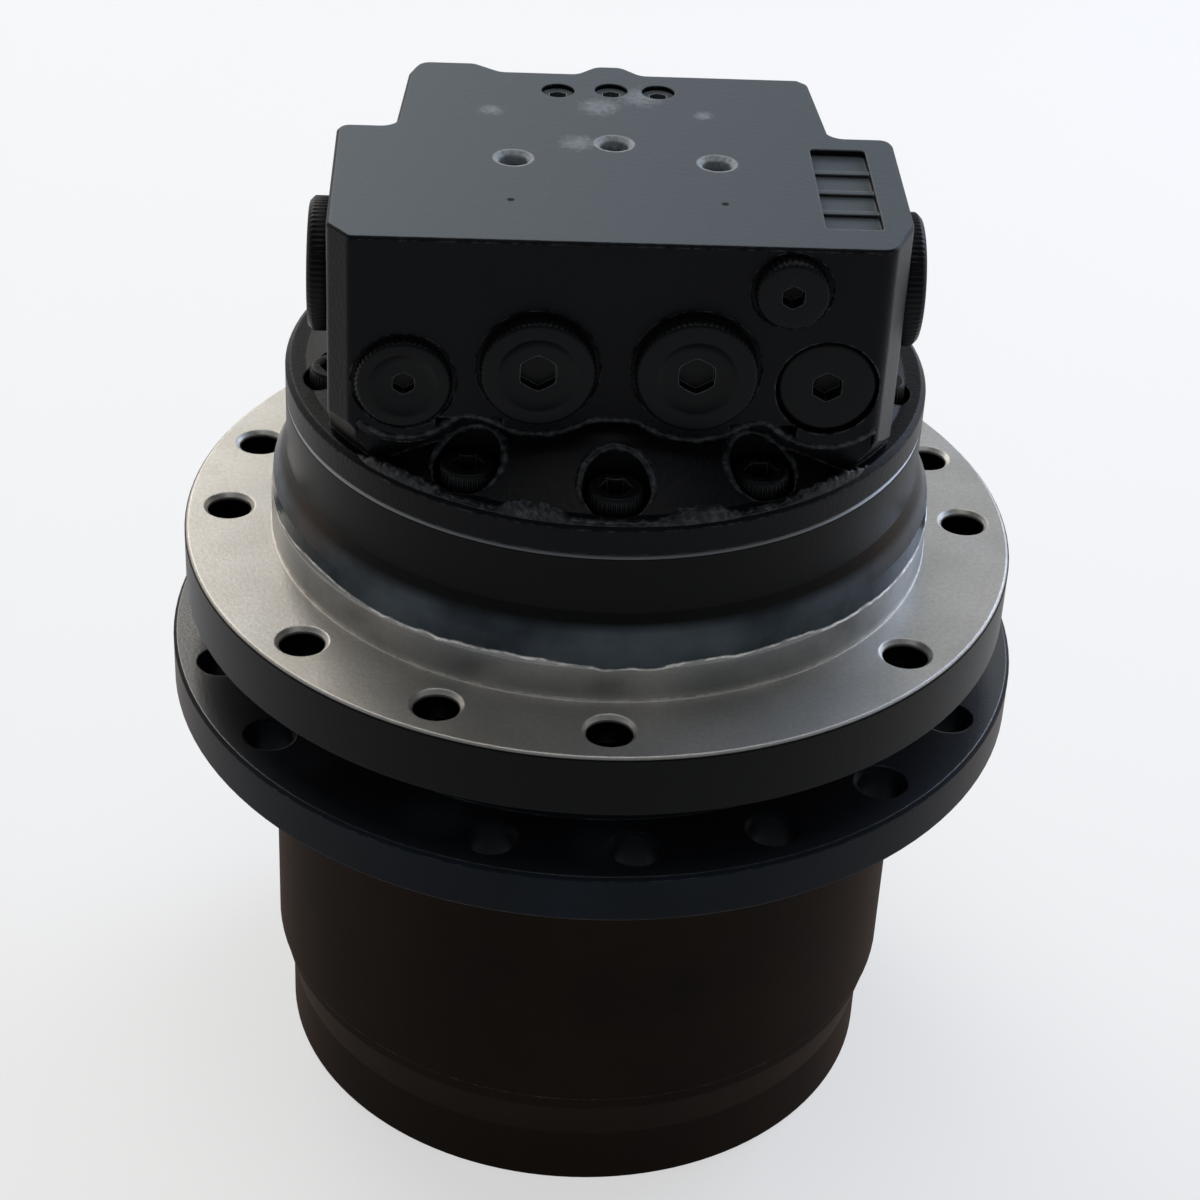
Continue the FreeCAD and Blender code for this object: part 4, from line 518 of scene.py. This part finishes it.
screw_angles = np.radians((-150, -112, -78, -30, 0, 30, 78, 112, 150))
screw_circle = 84.0
screw_seat = 51.1
head_teeth = 36
screw_places = np.column_stack([
    screw_circle * np.sin(screw_angles), -screw_circle * np.cos(screw_angles), np.full(9, screw_seat)])
screw_rows = np.array([
    # flat radius, height over the seat, hexness, knurl depth
    (2.0, 3.6, 0, 0), (3.85, 4.0, 1, 0), (4.0, 4.3, 1, 0), (4.0, 9.3, 1, 0), (4.2, 9.7, 0.8, 0),
    (4.9, 10.0, 0, 0), (6.8, 10.0, 0, 0), (7.2, 9.95, 0, 0), (7.6, 9.6, 0, 0.05), (7.9, 9.0, 0, 0.2),
    (8.0, 8.6, 0, 0.3), (8.0, 1.0, 0, 0.3), (7.8, 0.6, 0, 0.1), (7.5, 0.0, 0, 0), (5.3, 0.0, 0, 0),
    (5.0, -0.3, 0, 0), (5.0, -19.8, 0, 0), (4.3, -20.5, 0, 0)])
points, faces = ring_grid(screw_rows, head_teeth * 4, head_teeth, screw_places, (0, 0, 1))
block_screws = mesh_object("block_cap_screws", points, faces)
block_screws.data.materials.append(screw_steel)
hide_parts("valve_block_screws")
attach(block_screws, "casing")


# Front plugs
# Five turned steel plugs that close the valve bores: the four proud ones have straight knurled
# rims, three of those are dished, and the fifth lies flush in its bored ring. All have hex sockets.
front_seat = -69.2
hex_depth = 5.0
dish_depth = 1.6
shank_length = 14.7
tooth_pitch = 1.7


def plug_rows(radius, head, dish, across, knurl, nose):
    """Rows from the socket's floor over the dished face and the rounded knurled rim to the shank's end."""
    half = across / 2
    low = head - hex_depth
    rows = [(half * 0.5, low - 0.3, 0, 0), (half - 0.1, low, 1, 0), (half, low + 0.3, 1, 0)]
    if dish:
        share = np.array([0.0, 0.35, 0.6, 0.8, 0.93, 1.0])
        run = half * 1.2 + (dish - half * 1.2) * share
        sag = head - dish_depth * (1 - share ** 2.2)
        mouth = sag[0]
        rows += [(half, mouth - 0.3, 1, 0), (half + 0.15, mouth - 0.05, 0.6, 0)]
        rows += [(r, h, 0, 0) for r, h in zip(run, sag)]
        rows += [(dish + 0.5, head, 0, 0)]
    else:
        rows += [(half, head - 0.4, 1, 0), (half + 0.2, head - 0.1, 0.7, 0), (half * 1.25, head, 0, 0)]
    rows += [(radius - 1.5, head, 0, 0), (radius - 1.1, head - 0.08, 0, 0),
             (radius - 0.6, head - 0.4, 0, knurl / 2), (radius - 0.15, head - 1.0, 0, knurl),
             (radius, head - 1.4, 0, knurl), (radius, 0.5, 0, knurl), (radius - 0.4, 0.0, 0, 0)]
    shank = radius * 0.72
    rows += [(shank + 0.3, 0.0, 0, 0), (shank, -0.3, 0, 0), (shank, -shank_length + 0.6, 0, 0),
             (shank - 0.6, -shank_length, 0, 0)]
    if nose:
        rows += [(nose + 0.2, -shank_length, 0, 0), (nose, -shank_length - 0.3, 0, 0),
                 (nose, -shank_length - 8.5, 0, 0), (nose - 0.5, -shank_length - 9.0, 0, 0)]
    return np.array(rows)


# place, radius, head height, dish radius, socket, knurl depth, nose radius and how deep the seat lies
for name, x, z, radius, head, dish, across, knurl, nose, sunk in (
        ("speed_valve_plug", -60.6, 85.4, 13.8, 3.6, 10.0, 6.0, 0.35, 0, 0.0),
        ("left_relief_plug", -22.9, 91.0, 16.4, 6.0, 11.5, 10.0, 0.3, 7.5, 0.0),
        ("right_relief_plug", 21.6, 91.3, 17.4, 6.0, 11.5, 10.0, 0.3, 7.5, 0.0),
        ("upper_gallery_plug", 46.7, 117.0, 10.5, 5.0, 0, 6.0, 0.35, 0, 0.0),
        ("brake_valve_plug", 59.2, 86.4, 14.2, 5.0, 0, 8.0, 0.0, 0, 5.0)):
    teeth = int(round(2 * np.pi * radius / tooth_pitch))
    rows = plug_rows(radius, head, dish, across, knurl, nose)
    # a sunk plug has a shorter shank, so its end stays where it is
    rows[rows[:, 1] < -9, 1] += sunk
    points, faces = ring_grid(rows, teeth * 6, teeth, [(x, front_seat + sunk, z)], (0, -1, 0))
    plug = mesh_object(name + "_turned", points, faces)
    plug.data.materials.append(screw_steel)
    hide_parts(name)
    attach(plug, "casing")


# Spool caps
# Large low hex socket caps that close the counterbalance valve's bore at both sides of the block,
# turned from steel bar with a knurled rim and painted with the block.
cap_teeth = 72
cap_rows = np.array([
    (3.5, 1.2, 0, 0), (6.9, 1.5, 1, 0), (7.0, 1.8, 1, 0), (7.0, 6.0, 1, 0), (7.25, 6.35, 0.8, 0),
    (8.7, 6.5, 0, 0), (17.6, 6.5, 0, 0), (18.1, 6.35, 0, 0), (19.2, 5.3, 0, 0.1), (19.5, 4.8, 0, 0.25),
    (19.5, 0.6, 0, 0.25), (19.1, 0.0, 0, 0), (14.4, 0.0, 0, 0), (14.0, -0.4, 0, 0), (14.0, -10.0, 0, 0),
    (13.5, -10.5, 0, 0)])
for name, wall, side in (("left_spool_cap", -82.5, -1), ("right_spool_cap", 81.5, 1)):
    points, faces = ring_grid(cap_rows, cap_teeth * 6, cap_teeth, [(wall, -30.0, 101.5)], (side, 0, 0))
    cap = mesh_object(name + "_turned", points, faces)
    cap.data.materials.append(screw_steel)
    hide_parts(name)
    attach(cap, "casing")


# Gallery plugs
# Three headless steel plugs screwed flush into the milled top and painted over with it; their socket
# edges are key-rubbed and carry a painted glint. The inner screws and oil plugs keep their black oxide.
plug_paint, tree, shader, mm = new_material("painted_over_plug_steel")
smear_size = 4.0
smear = add(tree, "ShaderNodeTexNoise", {"Vector": mm, "Scale": 1 / smear_size, "Detail": 5.0}).outputs["Fac"]
tone = add(tree, "ShaderNodeMix", {
    0: smear, 6: linear("#40464a"), 7: linear("#6a7074")}, data_type="RGBA").outputs[2]
normal, edge = skin_normal(tree, mm, 0.4, 0.9, 0.05)
# socket edges lightened: key wear and a painted glint
tone = add(tree, "ShaderNodeMix", {
    0: edge_share(tree, edge), 6: tone, 7: linear("#c3c7c9")}, data_type="RGBA").outputs[2]
feed(tree, shader, {"Base Color": tone, "Normal": normal, "Roughness": 0.42, "Specular IOR Level": 0.1})
dress("gallery_plugs", plug_paint)
for name in ("cover_screws", "oil_plugs", "second_carrier_screws"):
    dress(name, screw_steel)


# Hub
# Ductile iron housing, turned on the sprocket flange and left with its skin on the barrel, sprayed
# black: bluish and smoother on the flange; the barrel's brown is a painted reflection of warm surroundings.
hub_paint, tree, shader, mm = new_material("sprayed_black_paint_on_ductile_iron")
axes = add(tree, "ShaderNodeSeparateXYZ", {0: mm}).outputs
spray_size = 45.0
spray = add(tree, "ShaderNodeTexNoise", {
    "Vector": mm, "Scale": 1 / spray_size, "Detail": 6.0, "Roughness": 0.6}).outputs["Fac"]
spray_share = add(tree, "ShaderNodeMapRange", {0: spray, 1: 0.3, 2: 0.7}).outputs[0]
# the barrel's brown tone is a painted reflection of warm surroundings
barrel_tone = add(tree, "ShaderNodeMix", {
    0: spray_share, 6: linear("#120d0a"), 7: linear("#1d150e")}, data_type="RGBA").outputs[2]
flange_tone = add(tree, "ShaderNodeMix", {
    0: spray_share, 6: linear("#0e1318"), 7: linear("#151c23")}, data_type="RGBA").outputs[2]
barrel_high, flange_low = -58.5, -55.0
on_flange = add(tree, "ShaderNodeMapRange", {0: axes["Z"], 1: barrel_high, 2: flange_low}).outputs[0]
colour = add(tree, "ShaderNodeMix", {
    0: on_flange, 6: barrel_tone, 7: flange_tone}, data_type="RGBA").outputs[2]
# the flange's upper face has kept the paint's gloss
plain = add(tree, "ShaderNodeNewGeometry").outputs["Normal"]
upward = add(tree, "ShaderNodeSeparateXYZ", {0: plain}).outputs["Z"]
level = add(tree, "ShaderNodeMapRange", {0: upward, 1: 0.9, 2: 0.97}).outputs[0]
gloss = add(tree, "ShaderNodeMath", {0: on_flange, 1: level}, operation="MULTIPLY").outputs[0]
normal, edge = skin_normal(tree, mm, 0.8, 1.2, 0.07)
# edges are paler in chips: worn paint, and a painted highlight along them
chip_size = 4.0
chip = add(tree, "ShaderNodeTexNoise", {
    "Vector": mm, "Scale": 1 / chip_size, "Detail": 6.0, "Roughness": 0.7}).outputs["Fac"]
chip_share = add(tree, "ShaderNodeMapRange", {0: chip, 1: 0.5, 2: 0.64, 4: 0.5}).outputs[0]
on_edge = edge_share(tree, edge)
wear_and_highlight = add(tree, "ShaderNodeMath", {0: on_edge, 1: chip_share}, operation="MULTIPLY").outputs[0]
colour = add(tree, "ShaderNodeMix", {0: wear_and_highlight, 6: colour, 7: linear("#6b6f73")}, data_type="RGBA").outputs[2]
rough = add(tree, "ShaderNodeMix", {0: on_flange, 2: 0.7, 3: 0.4}).outputs[0]
feed(tree, shader, {
    "Base Color": colour, "Roughness": rough, "Normal": normal, "Coat Weight": gloss, "Coat Normal": normal,
    "Coat Roughness": 0.28, "Coat IOR": 1.7, "Specular IOR Level": 0.05})
# a sheen of the dusty paint where the surface turns away, tinted brown as a painted reflection of warm
# surroundings
feed(tree, shader, {"Sheen Weight": 0.12, "Sheen Roughness": 0.35, "Sheen Tint": linear("#a5652f")})
for name in ("hub", "end_cover"):
    dress(name, hub_paint)


# Working parts inside
# Ground, hobbed and stamped parts of the motor, the brake, the bearings and the two gear stages.
# They are oily steel, iron, bronze, rubber and lining, each bare and with the marks of its making.
def bare_part(name, dark, pale, metallic, rough_low, rough_high, mark, depth):
    """Bare material whose roughness follows noise of a mark size in mm, and its tones 20 times as much."""
    made, tree, shader, mm = new_material(name)
    fine = add(tree, "ShaderNodeTexNoise", {"Vector": mm, "Scale": 1 / mark, "Detail": 4.0}).outputs["Fac"]
    broad = add(tree, "ShaderNodeTexNoise", {
        "Vector": mm, "Scale": 1 / (mark * 20), "Detail": 3.0}).outputs["Fac"]
    tone = add(tree, "ShaderNodeMix", {
        0: broad, 6: linear(dark), 7: linear(pale)}, data_type="RGBA").outputs[2]
    rough = add(tree, "ShaderNodeMapRange", {0: fine, 3: rough_low, 4: rough_high}).outputs[0]
    normal = skin_normal(tree, mm, 0.3, mark, depth)[0]
    feed(tree, shader, {"Base Color": tone, "Roughness": rough, "Normal": normal, "Metallic": metallic})
    return made


finishes = {
    "spring_steel": bare_part("oil_tempered_spring_steel", "#4f5052", "#6a6a6a", 1.0, 0.3, 0.45, 0.4, 0.01),
    "ground_steel": bare_part("ground_hardened_steel", "#a5a6a6", "#c0c0be", 1.0, 0.15, 0.3, 0.2, 0.004),
    "bearing_steel": bare_part("honed_bearing_steel", "#b4b5b5", "#cbcbc9", 1.0, 0.1, 0.2, 0.15, 0.003),
    "seal_iron": bare_part("lapped_chilled_iron", "#8b8b89", "#a2a19e", 1.0, 0.2, 0.35, 0.3, 0.005),
    "seal_rubber": bare_part("moulded_nitrile_rubber", "#131313", "#1d1d1d", 0.0, 0.55, 0.7, 0.5, 0.02),
    "brake_steel": bare_part("stamped_brake_plate_steel", "#7f8081", "#979797", 1.0, 0.3, 0.5, 0.6, 0.01),
    "friction_lining": bare_part("paper_friction_lining", "#5a4733", "#72593f", 0.0, 0.75, 0.9, 0.5, 0.04),
    "gear_steel": bare_part("hobbed_case_hardened_steel", "#838485", "#a0a09e", 1.0, 0.22, 0.4, 0.3, 0.008),
    "carrier_iron": bare_part("machined_ductile_iron", "#727270", "#8d8c89", 1.0, 0.35, 0.5, 0.5, 0.015),
    "bush_bronze": bare_part("turned_leaded_bronze", "#a2743c", "#bd8d4e", 1.0, 0.2, 0.35, 0.3, 0.006),
}
for row in frame["record"]["subparts"]:
    finish = finishes.get(row["material_slot"])
    if finish:
        dress(row["node"], finish)
